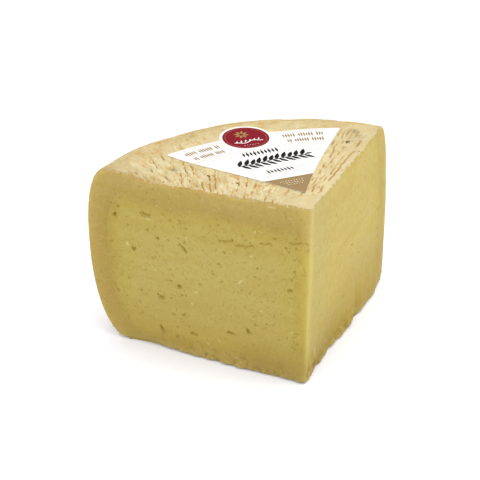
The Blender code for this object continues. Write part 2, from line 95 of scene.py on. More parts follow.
# The top: its slope across the piece, the raised rim and the rush marks of the mould
TOP_SLOPE = 0.008
RIM_RISE = 1.95 * MM
RIM_SLOPE = -0.007
RIM_RISE_FROM = 97 * MM
RIM_RISE_TO = 131 * MM
GROOVE_PITCH = 4.2 * MM
GROOVES_FROM, GROOVES_TO = 4.5 * MM, 130 * MM  # where they start, from the centre edge
BESIDE_RIGHT_CUT = 30 * MM  # the grooves between the deep ones are deep too up to this start
BETWEEN_WEIGHTS = (0.85, 0.45)  # and how deep they are up to there and beyond
GROOVE_DEPTH = 1.2 * MM
GROOVE_HALF_WIDTH = 0.45 * MM
GROOVE_BEND = 1.1 * MM
BEND_LENGTH = 16 * MM
# How a groove strays finely, by two noises, and how its width varies: how much, how long, seed
GROOVE_STRAY = ((0.3 * MM, 2.2 * MM, 9.1), (0.9 * MM, 6 * MM, 1.3))
GROOVE_UNEVEN = (0.35, 3.1 * MM, 4.4)
GROOVE_FAINTEST = 0.2  # of its strength, where it is nearly worn away
WEAR_LENGTH, WEAR_BIAS, WEAR_SOFTNESS = 4.8 * MM, 0.16, 0.3
MARKS_FROM, MARKS_TO = 14 * MM, 127 * MM  # from the wheel's axis
MARKS_FADE = 12 * MM
STRIP = 30 * MM  # the width beside each cut where the marks are deep
# Distance of a groove's start from the centre edge, and the length of its dashes
DASHES = ((0, 36), (20, 30), (32, 13), (150, 13))
DASH_BIAS, DASH_SOFTNESS = 0.22, 0.35  # how much of a groove is dashes, and how they fade
FULL_GROOVE_DASH = 17 * MM  # grooves with longer dashes, beside the right cut, are fuller
FULL_GROOVE_BONUS = 0.25
# Distance of a groove's start from the centre edge, and the way it runs, from +X
GROOVE_FAN = ((0, 46), (25, 50), (50, 70), (80, 80), (100, 106), (130, 118))
SWELL_DEPTH = 0.35 * MM  # of the broad hollows that the grooves lie in
SWELL_HALF_WIDTH = 1.5 * MM

# The finer marks of the rushes: short wavy dashes along the same fan, in the rind's colour with painted
# shade in them and a painted highlight between them
FAN_PITCH = 2.9 * MM
FAN_DASH = 8 * MM
# How a mark's start is found: a first guess by how far the point lies inside the left cut, then
# this many steps, each over this share of the way that is left
FAN_GUESS, FAN_STEPS, FAN_STRIDE = 0.6, 8, 0.7

# Roughness of the top and the wall: noises, and how far they may stand out
TOP_ROUGH = ((0.22 * MM, 5 * MM, 3.9), (0.16 * MM, 1.8 * MM, 6.6))
TOP_PROUD = 0.15 * MM
WALL_ROUGH = ((0.45 * MM, 7 * MM, 2.2), (0.14 * MM, 2.2 * MM, 9.4))
WALL_PROUD = 0.1 * MM

# Rush marks on the wall
WALL_MARK_PITCH = 5.2 * MM
WALL_MARK_DEPTH = 0.5 * MM
WALL_MARK_HALF_WIDTH = 0.7 * MM
WALL_DASH = 17 * MM
WALL_DASH_BIAS, WALL_DASH_SOFTNESS = 0.1, 0.4
WALL_ROWS_APART = 3.3  # in the noise, as a share of a dash, so that no row is like the next
WALL_MARK_BEND, WALL_BEND_LENGTH = 0.9 * MM, 15 * MM

# The foot of the cuts: rounded under, crumbled, and spread a little on the right. Its crumbs
# are noises, each by its strength, the size of its lumps and its seed.
CRUMBS = ((1, 9 * MM, 1.1), (0.8, 4.2 * MM, 7.9))
FINE_CRUMBS = ((1, 2.3 * MM, 4.7), (0.6, 1.2 * MM, 2.9))
CRUMB_HEIGHTS = (14 * MM, 20 * MM)  # at the left cut and at the right cut
CRUMB_DEPTH = 1.7 * MM
CRUMB_PROUD, FINE_CRUMB_PROUD = 0.4, 0.3  # how far crumbs may stand out, as shares of their depth
FINE_CRUMB_DEPTHS = (0.8 * MM, 1.3 * MM)
CRUMB_HOLLOWS = (0.15, 0.45)  # how readily shade is painted into the crumbled foot's hollows
CRUMB_HOLLOW_SOFTNESS = 0.9
CRUMB_PALE = 0.5  # how pale the crumbs are that stand out by more than the next value
CRUMB_PALE_FROM, CRUMB_PALE_SOFTNESS = 0.35, 0.5
SMOOTH_FOOT_FROM = (104 * MM, 85 * MM)  # the foot of each cut is cleaner beyond this
SMOOTH_FOOT = (1, 0.7)  # and by how much
FOOT_HEIGHT = 9 * MM
FOOT_RECESS = 2.2 * MM  # how far the very foot lies in, which makes its dark line
FOOT_RECESS_HEIGHT = 1.8 * MM
# Distance from the centre edge, and how far the foot lies in there, on the left cut
FOOT_TUCK = ((0, -0.5), (20, -0.5), (50, -1), (85, -0.5), (107, 0.5), (125, 2.5), (140, 1), (150, 0))
# The same on the right cut, and how far the foot stands out there
FOOT_SPREAD = (
    *((0, -0.5), (27, 0), (45, -1.5), (58, 0.5), (80, 3)),
    *((91, -0.5), (99, 3), (126, 3.5), (150, 1)),
)
SPREAD_HEIGHT = 26 * MM

# The paler centre edge: a painted highlight along it
EDGE_HIGHLIGHT = 0.38
EDGE_HIGHLIGHT_AT = 1.3 * MM  # on the right cut
EDGE_HIGHLIGHT_REACHES = (3.5 * MM, 2.6 * MM)  # towards the left and towards the right
EDGE_HIGHLIGHT_VARIES, EDGE_HIGHLIGHT_SIZE = 0.2, 7 * MM  # how much it varies, and over what length

EDGE_ZONE = 13 * MM  # the left cut's paste beside it is as brown as this deep under the rind
EDGE_ZONE_SLOPE = 1.2  # and deeper by this share of the way from it
RIGHT_TOP_ZONE = 22 * MM  # the right cut's paste under the top is as pale as this deep
DEPTH_BLEND, MOST_DEPTH = 4, 90  # millimetres: the depths under two sides blend over the first

# Chips along the top edges of the cuts
CHIP_LENGTH, FINE_CHIP_LENGTH = 2.8 * MM, 1.1 * MM
CHIP_DEPTH = 0.7 * MM
CHIP_BIAS, CHIP_SOFTNESS = 0.12, 0.5  # how much of an edge is chipped, and how the chips fade
CHIP_SHARES = (0.75, 0.3, 0.1)  # of the depth: coarse chips, fine ones and even wear
RIGHT_CHIPS = 0.5  # how deep they are on the right cut, as a share of the left
RIGHT_CHIP_ROW = 40.0 * MM  # where the right cut's chips lie in the noise, clear of the left's
CHIPS_TO, CHIPS_FADE = 85 * MM, 25 * MM  # on the left cut, from the centre edge
CHIPS_LOST = 0.8  # and the share that is gone beyond
CHIP_REACH = 1.0 * MM
CHIP_SINK = 0.3  # how far the top sinks at a chip, as a share of its depth
RIM_LINE = 0.4 * MM  # how far down the cuts the marks of the top are seen
CREST_REACH = 4 * MM  # how far below the top edge its marks still bend the skin

# The dozen largest eyes of the left cut: distance from the centre edge, height, width and
# tallness in millimetres, and tilt in degrees
EYES = (
    (109, 91, 7, 3, -10),
    (130, 86, 3, 3, 40),
    (100, 77, 3, 2, -15),
    (82, 73, 7, 2, -50),
    (117, 66, 3, 3, -20),
    (86, 47, 4, 3, -30),
    (100, 37, 4, 3, 10),
    (105, 14, 3, 5, 15),
    (81, 16, 6, 2, -5),
    (53, 23, 7, 2, 5),
    (40, 27, 3, 4, 30),
    (12, 61, 4, 2, 10),
)
# Cracks under the rind of the left cut: distance of their middle from the centre edge, height
# and length in millimetres
CRACKS = ((8, 92, 11), (28, 88, 6), (42, 84, 13), (54, 85, 8))
CRACK_TILT = 8
# The small hollows that a crack is made of, in millimetres and degrees
BLOB_PITCH = 1.9
BLOB_STRAY = 0.5
BLOB_WIDTHS, BLOB_TALLNESSES = (2.0, 3.6), (0.7, 1.7)
BLOB_TILTS = (-40, 45)
BLOB_STRENGTH = 0.8
# Pale flakes, in the same terms as the eyes
FLAKES = ((44, 60, 7, 1.5, 40), (107, 89, 5, 1.5, -10), (121, 68, 2, 2.5, 0), (26, 112, 6, 1, 0))
EDGE_RUB = (15, 16, 2.5, 11, -6)  # a pale rub low beside the centre edge, on the right cut
LEFT_PITS, RIGHT_PITS = 72, 10
LEFT_FLECKS, RIGHT_FLECKS = 12, 10
# The small pits and flecks, in millimetres and degrees
PIT_WIDTHS, TALLEST_PIT = (1.2, 2.8), 1.6
PIT_FLATNESS = (0.7, 1.1)
PIT_TILTS = (-30, 30)
PIT_STRENGTHS = (0.35, 0.9)
PITS_WITHIN = ((4, 134), (5, 100))  # distances and heights
PIT_SEED = 31
EYE_DEPTH = 0.5  # of the smaller side
FAINT_EYE_DEPTH = 0.4  # of that, for the faintest eyes
EYE_LOWER_SIDE = 0.35  # how much of an eye's painted shade is left low down, where light falls in, as a share
EYE_SURROUND = 1.2  # millimetres round an eye that have fine facets
FLAKE_RISE = 0.15 * MM
EYE_RINGS = (0.0, 0.35, 0.65, 0.88, 1.0, 1.15)
EYE_CLEARANCE = 1.2  # where the plain facets stop, as a share of the eye's radius
EYE_RAGGED = 0.6  # how far its rim strays, as a share of its radius
EYE_RAGGED_SIZE = 1.5 * MM
EYE_CORNERS = 0.1  # how far its three blunt corners stand out, likewise

# Places on the top, from the wheel's axis: across, away, radius in millimetres and strength
MOULD_TINTS = (
    (70, 84, 10, 0.4),
    (-54, 85, 3, 0.9),
    (-67, 89, 3, 0.6),
    (72, 95, 3.5, 0.9),
    (-28, 126, 2.5, 0.5),
)
DARK_SPECKS = (
    (-60, 94, 1.5, 0.5),
    (-50, 99, 1.3, 0.45),
    (62, 84, 1.5, 1),
    (-37, 69, 1.2, 0.9),
    (-25, 52, 1.1, 0.9),
)
SPECK_DEPTH = 0.8 * MM
SMALL_SPECKS = 26
SPECK_SEED = 8

# The label, from the wheel's axis
LABEL_TIP = np.array((5.8, 22.0)) * MM
LABEL_SIDE_ANGLES = (math.radians(53.6), math.radians(125.0))
LABEL_SIDE_BOWS = np.array((2.0, 0.6)) * MM  # how far its right and left side curve inwards
LABEL_CORNERS = (1.5 * MM, 1.5 * MM, 0.4 * MM)  # rounding of its tip, right and left corner
LABEL_ARC_CENTRE = np.array((5, -42.1)) * MM
LABEL_ARC_RADIUS = 156.8 * MM
MEDALLION_CENTRE = np.array((3.7, 112)) * MM
MEDALLION_RADII = np.array((16.8, 17)) * MM
LABEL_THICKNESS = 0.1 * MM
LABEL_GAP = 0.03 * MM
LABEL_WAVE = 0.06 * MM
LABEL_WAVE_SIZE = 14 * MM
LABEL_SHELTER = 1.2 * MM  # how far outside its edge the grooves fade out

# The label's generic print, in millimetres where MM isn't named
TIP_PRINT_TO = 46 * MM
TIP_ROWS = ((41.2, 7.5), (38.6, 6.2), (36.2, 4.4))  # how far from the axis, and half the length
SPRIG_AWAY = 72.6
SPRIG_PAIRS = 11
SPRIG_LEAF = 9.4
SIDE_ROW_SPANS = ((-18.2, -7.6), (7.8, 19.0))  # degrees round the label's arc
SIDE_ROWS, SIDE_LINES = (7.0, 14.6), (2.4, 19.4)  # how far inside the arc
ROSETTE_PETALS = 8
FIELD_RADII = np.array((15, 15.2)) * MM  # of the medallion's red field

ALL_RIND = 5  # millimetres on the rind's side of the border between paste and rind

# Spacing of the facets
FINE = 0.6 * MM
MARGIN = 0.6  # the share of their spacing that plain points keep clear of an edge
CUT_EDGE_STEP = 0.75 * MM
UPRIGHT_STEP = 1.2 * MM
RIND_EDGE_STEP = 1.3 * MM
GROOVE_STEP = 1.0 * MM
GROOVE_ROWS = np.array((-0.8, -0.4, 0, 0.4, 0.8)) * MM
GROOVE_POINTS_APART = 0.34 * MM
LABEL_STEP = 1.6 * MM
CORNER_POINTS = 6
ARC_POINTS, MEDALLION_POINTS, FIELD_POINTS = 72, 90, 72
FLAT_STEP = 6 * MM
FOOT_FINE_TO = 8 * MM
EDGE_FINE_TO = 1.6 * MM
UPRIGHT_COLUMNS = np.array((0.5, 1.1, 1.7, 147.5, 148.7, 150, 151.3, 152.5)) * MM

# The camera, as the photograph was taken
CAMERA_AT = np.array((-271.4, -682.1, 427.3)) * MM
LOOK_AT = np.array((-12.6, 4.4, 61.4)) * MM
CAMERA_ROLL = math.radians(-0.69)
LENS = 97.575
SENSOR = 36

# Soft lights, by name, place, width, height, power and colour
LIGHTS = (
    ("top", (0.35, -0.2, 1.5), 1.3, 1.3, 7.5, (1, 1, 1)),
    ("right", (1.4, -0.9, 1.1), 1.0, 1.2, 4.4, (1, 0.98, 0.9)),
    ("left", (-1.3, -0.9, 0.8), 1.0, 1.2, 1.7, (1, 1, 1)),
)
LIT_PLACE = Vector((0, 0, 0.05))
WORLD_LIGHT = 1.17
FLOOR_HALF = 6.0
FLOOR_PAINT = (0.92, 0.938, 1, 1)

# The light is a little over full, so that the floor is white, and the paints make up for it
PAINT_SHARE = 0.76

# What the cheese's mesh tells its material about each point, lengths in millimetres;
# hollow carries painted shade, and pale carries pale flakes and a painted highlight by the centre edge
CHANNELS = (
    *("rind_way", "depth", "hollow", "pale", "mark"),
    *("mould", "speck", "fan_across", "fan_along", "out"),
)


def ease(x):
    x = np.clip(x, 0, 1)
    return x * x * (3 - 2 * x)


def lumps(points, size, seed):
    """Smooth noise from -1 to 1 at each point, with lumps about this size."""
    return np.array([noise.noise(Vector(p)) for p in points / size + seed])


def layered(points, layers):
    """Several noises in one, each given by its strength, the size of its lumps and its seed."""
    return sum(strength * lumps(points, size, seed) for strength, size, seed in layers)


def table(rows, distance):
    """Reads a table of (distance, value) in millimetres at these distances."""
    at, value = np.transpose(rows)
    return np.interp(distance, at * MM, value)


def bulge(way, roundness):
    """A quarter of a superellipse, from 1 where the way is 0 down to 0 where it is 1."""
    return (1 - np.clip(way, 0, 1) ** roundness) ** (1 / roundness)


def profile_radius(side, z):
    """The rind's radius at these heights, at the left cut (side 0) or the right cut (side 1)."""
    belly_height, belly = BELLY_HEIGHTS[side], BELLY_RADII[side]
    low = bulge(1 - z / belly_height, FOOT_ROUNDNESS[side])
    high = bulge((z - belly_height) / (HEIGHT - belly_height), SHOULDER_ROUNDNESS[side])
    below = FOOT_RADII[side] + (belly - FOOT_RADII[side]) * low
    above = CREST_RADII[side] + (belly - CREST_RADII[side]) * high
    return np.where(z < belly_height, below, above)


def rind_outline():
    """Rows of height, left radius and right radius, and the way up along the left cut's ones."""
    z = HEIGHT * (1 - np.cos(np.linspace(0, math.pi, PROFILE_POINTS))) / 2
    left, right = (profile_radius(side, z) for side in (0, 1))
    strides = np.hypot(np.diff(z), np.diff(left))
    return np.column_stack((z, left, right)), np.concatenate(([0], np.cumsum(strides)))


OUTLINE, OUTLINE_WAY = rind_outline()
SKIN_TOP = OUTLINE_WAY[-1]


def rind_radius(angle, left, right):
    """The wheel is fuller at the left cut above and at the right cut below."""
    share = (angle + HALF_ANGLE) / (2 * HALF_ANGLE)
    skew = BACK_SKEW * np.sin(2 * math.pi * share)
    return left + (right - left) * ease(share) + BACK_BULGE * np.sin(math.pi * share) - skew


def sharp_skin(u, v):
    """The skin round the piece with sharp edges. u is the way round from the centre edge, with
    the left cut below 0, the right cut above it and the rind past WHEEL_RADIUS; v goes up."""
    u = (u + BACK) % (2 * BACK) - BACK
    z, left, right = (np.interp(v, OUTLINE_WAY, OUTLINE[:, k]) for k in range(3))
    past = np.maximum(np.abs(u) - WHEEL_RADIUS, 0)
    angle = np.sign(u) * (HALF_ANGLE - past / WHEEL_RADIUS)
    rim = rind_radius(angle, left, right)[..., None] * np.stack((np.sin(angle), np.cos(angle)), -1)
    centre = (1 - z / HEIGHT)[..., None] * CUT_LEAN
    share = np.minimum(np.abs(u) / WHEEL_RADIUS, 1)[..., None]
    return np.concatenate((centre + (rim - centre) * share, z[..., None]), -1)


def smooth_skin(u, v):
    """sharp_skin with its three upright edges rounded, each by one quadratic curve."""
    point = sharp_skin(u, v)
    edges = ((-WHEEL_RADIUS, OUTER_EDGE_REACH), (0, CENTRE_EDGE_REACH), (WHEEL_RADIUS, OUTER_EDGE_REACH))
    for edge, reach in edges:
        t = np.clip((u - edge + reach) / (2 * reach), 0, 1)[..., None]
        before, tip, after = (sharp_skin(np.full_like(u, edge + s * reach), v) for s in (-1, 0, 1))
        arc = (1 - t) ** 2 * before + 2 * t * (1 - t) * tip + t**2 * after
        point = np.where((t > 0) & (t < 1), arc, point)
    return point


def skin_normal(u, v):
    near = 0.2 * MM
    along = smooth_skin(u + near, v) - smooth_skin(u - near, v)
    up = smooth_skin(u, np.minimum(v + near, SKIN_TOP)) - smooth_skin(u, np.maximum(v - near, 0))
    normal = np.cross(along, up)
    return normal / np.linalg.norm(normal, axis=-1, keepdims=True)


def top_form(xy):
    """How far the top stands above HEIGHT, without its marks."""
    rim = ease((np.hypot(*xy.T) - RIM_RISE_FROM) / (RIM_RISE_TO - RIM_RISE_FROM))
    return TOP_SLOPE * xy[:, 0] + (RIM_RISE + RIM_SLOPE * xy[:, 0]) * rim


class LabelSide:
    """A side of the label, from its tip to its arc, that curves inwards a little."""

    def __init__(self, angle, bow, turn):
        self.way = np.array((math.cos(angle), math.sin(angle)))
        self.inward = turn * np.array((-self.way[1], self.way[0]))
        self.bow = bow
        rel = LABEL_TIP - LABEL_ARC_CENTRE
        back = rel @ self.way
        self.length = math.sqrt(back**2 - rel @ rel + LABEL_ARC_RADIUS**2) - back

    def bend(self, share):
        return 4 * self.bow * share * (1 - share)

    def points(self, share):
        along = np.outer(share * self.length, self.way)
        return LABEL_TIP + along + np.outer(self.bend(share), self.inward)

    def depth(self, xy):
        """How far inside this side each point lies."""
        rel = xy - LABEL_TIP
        share = np.clip(rel @ self.way / self.length, 0, 1)
        return rel @ self.inward - self.bend(share)


LABEL_SIDES = [LabelSide(*side) for side in zip(LABEL_SIDE_ANGLES, LABEL_SIDE_BOWS, (1, -1))]


def label_shelter(xy):
    """1 under the label and 0 a little outside it, on the medallion as well."""
    inside_arc = LABEL_ARC_RADIUS - np.hypot(*(xy - LABEL_ARC_CENTRE).T)
    in_wedge = np.min([inside_arc, *(side.depth(xy) for side in LABEL_SIDES)], axis=0)
    off_medallion = np.hypot(*((xy - MEDALLION_CENTRE) / MEDALLION_RADII).T) - 1
    in_medallion = -off_medallion * MEDALLION_RADII[0]
    return ease(1 + np.maximum(in_wedge, in_medallion) / LABEL_SHELTER)


class Groove:
    """One broken line of the mould's rush marks, from the left cut towards the rind."""

    def __init__(self, number, start, weight):
        way = math.radians(table(GROOVE_FAN, start))
        self.number, self.weight = number, weight
        self.dash = weight * table(DASHES, start) * MM
        self.start = start * np.array((-math.sin(HALF_ANGLE), math.cos(HALF_ANGLE)))
        self.along = np.array((math.cos(way), math.sin(way)))
        self.across = np.array((-self.along[1], self.along[0]))

    def waver(self, s, length, seed):
        """Noise along this groove alone, with waves about this long."""
        own_row = np.full_like(s, 3.7 * self.number * length)
        return lumps(np.stack((s, own_row, np.zeros_like(s)), -1), length, seed)

    def wobble(self, s):
        return GROOVE_BEND * self.waver(s, BEND_LENGTH, 5.3)

    def strength(self, s):
        """0 between the dashes and up to 1 in them."""
        fuller = FULL_GROOVE_BONUS * (self.dash > FULL_GROOVE_DASH)
        return ease((self.waver(s, self.dash, 2.7) + DASH_BIAS + fuller) / DASH_SOFTNESS)

    def points(self, s, aside):
        return self.start + np.outer(s, self.along) + np.outer(self.wobble(s) + aside, self.across)

    def profile(self, xy):
        """How deep each point lies in the groove and in the broad hollow around it, up to 1."""
        s = (xy - self.start) @ self.along
        aside = (xy - self.start) @ self.across
        groove, swell = np.zeros((2, len(xy)))
        near = (np.abs(aside) < GROOVE_PITCH) & (s > -GROOVE_PITCH)
        s, aside = s[near], aside[near]
        fine = sum(far * self.waver(s, length, seed) for far, length, seed in GROOVE_STRAY)
        off = aside - self.wobble(s) - fine
        uneven, length, seed = GROOVE_UNEVEN
        width = GROOVE_HALF_WIDTH * (1 + uneven * self.waver(s, length, seed))
        whole = ease((self.waver(s, WEAR_LENGTH, 6.2) + WEAR_BIAS) / WEAR_SOFTNESS)
        tone = GROOVE_FAINTEST + (1 - GROOVE_FAINTEST) * whole
        groove[near] = self.weight * tone * np.exp(-((off / width) ** 2)) * self.strength(s)
        swell[near] = np.exp(-((off / SWELL_HALF_WIDTH) ** 2))
        return groove, swell


def grooves():
    """The deep grooves, as the CAD solid has them, and a finer one between each two."""
    starts = np.arange(GROOVES_FROM, GROOVES_TO, GROOVE_PITCH)
    deep = [Groove(number, start, 1) for number, start in enumerate(starts)]
    between = starts + GROOVE_PITCH / 2
    weights = np.where(between < BESIDE_RIGHT_CUT, *BETWEEN_WEIGHTS)
    return deep + [Groove(k + 0.5, *row) for k, row in enumerate(zip(between, weights))]


def cut_distances(xy):
    """How far each point of the top lies inside the left cut and inside the right cut."""
    sine, cosine = math.sin(HALF_ANGLE), math.cos(HALF_ANGLE)
    return xy @ np.array((cosine, sine)), xy @ np.array((-cosine, sine))


def spots(xy, rows):
    """The strongest of some round spots at each point."""
    found = np.zeros(len(xy))
    for across, away, radius, strength in rows:
        reach = np.hypot(*(xy - np.array((across, away)) * MM).T) / (radius * MM)
        found = np.maximum(found, strength * np.exp(-(reach**2)))
    return found


def small_specks():
    """Seeded specks of mould strewn over the top, as rows like DARK_SPECKS."""
    draw = np.random.default_rng(SPECK_SEED)
    angle = draw.uniform(-HALF_ANGLE, HALF_ANGLE, SMALL_SPECKS)
    away = WHEEL_RADIUS / MM * np.sqrt(draw.uniform(0.05, 0.85, SMALL_SPECKS))
    radius, strength = draw.uniform(0.4, 0.9, SMALL_SPECKS), draw.uniform(0.4, 0.9, SMALL_SPECKS)
    return list(zip(away * np.sin(angle), away * np.cos(angle), radius, strength))


ALL_SPECKS = [*DARK_SPECKS, *small_specks()]


def fan(xy):
    """The way across and along the fan of rush marks at each point, both in millimetres. The
    start of the mark through a point is found in a few steps, each moving it a little aside."""
    left, _ = cut_distances(xy)
    start = np.clip(np.hypot(*xy.T) - FAN_GUESS * left, 0, WHEEL_RADIUS)
    for _ in range(FAN_STEPS):
        way = np.radians(table(GROOVE_FAN, start))
        origin = np.outer(start, (-math.sin(HALF_ANGLE), math.cos(HALF_ANGLE)))
        aside = (xy[:, 1] - origin[:, 1]) * np.cos(way) - (xy[:, 0] - origin[:, 0]) * np.sin(way)
        start = np.clip(start + FAN_STRIDE * aside, 0, WHEEL_RADIUS)
    return start / MM, left / MM


def chips(distance, left):
    """How far the top edge is broken away, at this distance along a cut."""
    row = np.where(left, 0, RIGHT_CHIP_ROW)
    place = np.stack((distance, row, np.zeros_like(distance)), -1)
    coarse = ease((lumps(place, CHIP_LENGTH, 6.1) + CHIP_BIAS) / CHIP_SOFTNESS)
    fine = lumps(place, FINE_CHIP_LENGTH, 8.3)
    beyond = 1 - CHIPS_LOST * ease((distance - CHIPS_TO) / CHIPS_FADE)
    share = np.where(left, beyond, RIGHT_CHIPS)
    much, little, even = CHIP_SHARES
    return CHIP_DEPTH * share * (much * coarse + little * fine + even)


def top_relief(xy):
    """The marks of the mould, pressed into the top, and the share of each point in them."""
    left, right = cut_distances(xy)
    in_strip = 1 - ease((np.minimum(left, right) - STRIP) / (0.5 * STRIP))
    radius = np.hypot(*xy.T)
    fade = ease((radius - MARKS_FROM) / MARKS_FADE) * ease((MARKS_TO - radius) / MARKS_FADE)
    profiles = np.array([groove.profile(xy) for groove in grooves()])
    return profiles.max(axis=0) * in_strip * fade * (1 - label_shelter(xy))


def channel_rows(count, **given):
    """The colour channels of this many points, 0 where they aren't given."""
    return np.column_stack([np.broadcast_to(given.get(name, 0.0), count) for name in CHANNELS])


def top_surface(xy):
    """Heights above HEIGHT and the colour channels of points of the top."""
    marks, swell = top_relief(xy)
    open_air = 1 - label_shelter(xy)
    rough = layered(np.column_stack((xy, np.zeros(len(xy)))), TOP_ROUGH)
    specks = spots(xy, ALL_SPECKS)
    left, right = cut_distances(xy)
    edge = np.maximum(np.minimum(left, right), 0)
    out = np.hypot(*xy.T)
    broken = chips(out, left < right) * np.exp(-((edge / CHIP_REACH) ** 2))
    height = top_form(xy) - GROOVE_DEPTH * marks - SWELL_DEPTH * swell
    height += (np.minimum(rough, TOP_PROUD) - TOP_PROUD - SPECK_DEPTH * specks) * open_air
    height -= CHIP_SINK * broken
    across, along = fan(xy)
    channels = channel_rows(
        len(xy),
        rind_way=edge / MM,
        mark=marks,
        mould=spots(xy, MOULD_TINTS),
        speck=specks,
        fan_across=across,
        fan_along=along,
        out=out / MM,
    )
    return height, channels


def small_places(count, seed):
    """Seeded places of a cut: distance, height, width, tallness, tilt and strength of each."""
    draw = np.random.default_rng(seed)
    distance, height = (draw.uniform(*span, count) for span in PITS_WITHIN)
    width = draw.uniform(*PIT_WIDTHS, count)
    tallness = np.minimum(width, TALLEST_PIT) * draw.uniform(*PIT_FLATNESS, count)
    tilt, strength = (draw.uniform(*span, count) for span in (PIT_TILTS, PIT_STRENGTHS))
    return [tuple(row) for row in np.transpose((distance, height, width, tallness, tilt, strength))]


def crack_blobs():
    """Each crack as a wavy chain of small hollows."""
    draw = np.random.default_rng(PIT_SEED)
    made = []
    for middle, height, length in CRACKS:
        for along in np.arange(-length / 2, length / 2 + NO_LENGTH, BLOB_PITCH):
            rise = -along * math.tan(math.radians(CRACK_TILT)) + draw.uniform(-BLOB_STRAY, BLOB_STRAY)
            form = [draw.uniform(*span) for span in (BLOB_WIDTHS, BLOB_TALLNESSES, BLOB_TILTS)]
            made.append((middle + along, height + rise, *form, BLOB_STRENGTH))
    return made


# The marks of the left cut, side -1, and of the right cut, side 1, each with its strength
HOLLOWS = {
    -1: [*((*eye, 1.0) for eye in EYES), *crack_blobs(), *small_places(LEFT_PITS, PIT_SEED)],
    1: small_places(RIGHT_PITS, PIT_SEED + 1),
}
PALE_PLACES = {
    -1: [*((*flake, 0.8) for flake in FLAKES), *small_places(LEFT_FLECKS, PIT_SEED + 2)],
    1: [(*EDGE_RUB, 0.7), *small_places(RIGHT_FLECKS, PIT_SEED + 3)],
}


def eye_frame(eye, distance, height):
    """Places of a cut in an eye's own frame, where its rim is the unit circle."""
    far, high, width, tallness, tilt, _ = eye
    turn = math.radians(tilt)
    x, y = far * MM - distance, height - high * MM
    across = (x * math.cos(turn) + y * math.sin(turn)) / (width / 2 * MM)
    up = (y * math.cos(turn) - x * math.sin(turn)) / (tallness / 2 * MM)
    return across, up


def eye_points(eye):
    """Points in rings on an eye of a cut, as (distance from the centre edge, height)."""
    far, high, width, tallness, tilt, _ = eye
    turn = math.radians(tilt)
    spokes = int(np.clip(2.2 * (width + tallness), 8, 30))
    made = []
    for ring in EYE_RINGS:
        for spoke in range(spokes if ring else 1):
            angle = 2 * math.pi * (spoke + ring) / spokes
            x = ring * math.cos(angle) * width / 2 * MM
            y = ring * math.sin(angle) * tallness / 2 * MM
            along = x * math.cos(turn) - y * math.sin(turn)
            up = x * math.sin(turn) + y * math.cos(turn)
            made.append((far * MM - along, high * MM + up))
    made = np.array(made)
    return made[(made[:, 0] > 0.8 * MM) & (made[:, 1] > 0.4 * MM)]


def reach_of(eye, distance, height, ragged):
    """How far out each place lies in an eye, where its ragged rim is at 1."""
    across, up = eye_frame(eye, distance, height)
    corners = np.cos(3 * np.arctan2(up, across) + 2.4 * eye[0])
    return np.hypot(across, up) * (1 + EYE_RAGGED * ragged - EYE_CORNERS * corners)


def eye_relief(eyes, distance, height, ragged):
    """The depth of these eyes at places of a cut, and the shade painted in them there, darker on their
    upper side.
    """
    depth, dark = np.zeros((2, len(distance)))
    for eye in eyes:
        reach = reach_of(eye, distance, height, ragged)
        bowl = np.sqrt(np.clip(1 - reach**2, 0, 1))
        share = FAINT_EYE_DEPTH + (1 - FAINT_EYE_DEPTH) * eye[5]
        depth = np.maximum(depth, EYE_DEPTH * min(eye[2:4]) * MM * bowl * share)
        _, up = eye_frame(eye, distance, height)
        # Painted shade, darkest on the eye's upper side under its overhang
        shade = EYE_LOWER_SIDE + (1 - EYE_LOWER_SIDE) * ease(0.5 + 0.8 * up)
        dark = np.maximum(dark, eye[5] * bowl * shade)
    return depth, dark


def pale_places(rows, distance, height, ragged):
    found = np.zeros(len(distance))
    for row in rows:
        found = np.maximum(found, row[5] * ease(1.6 - 1.3 * reach_of(row, distance, height, ragged)))
    return found


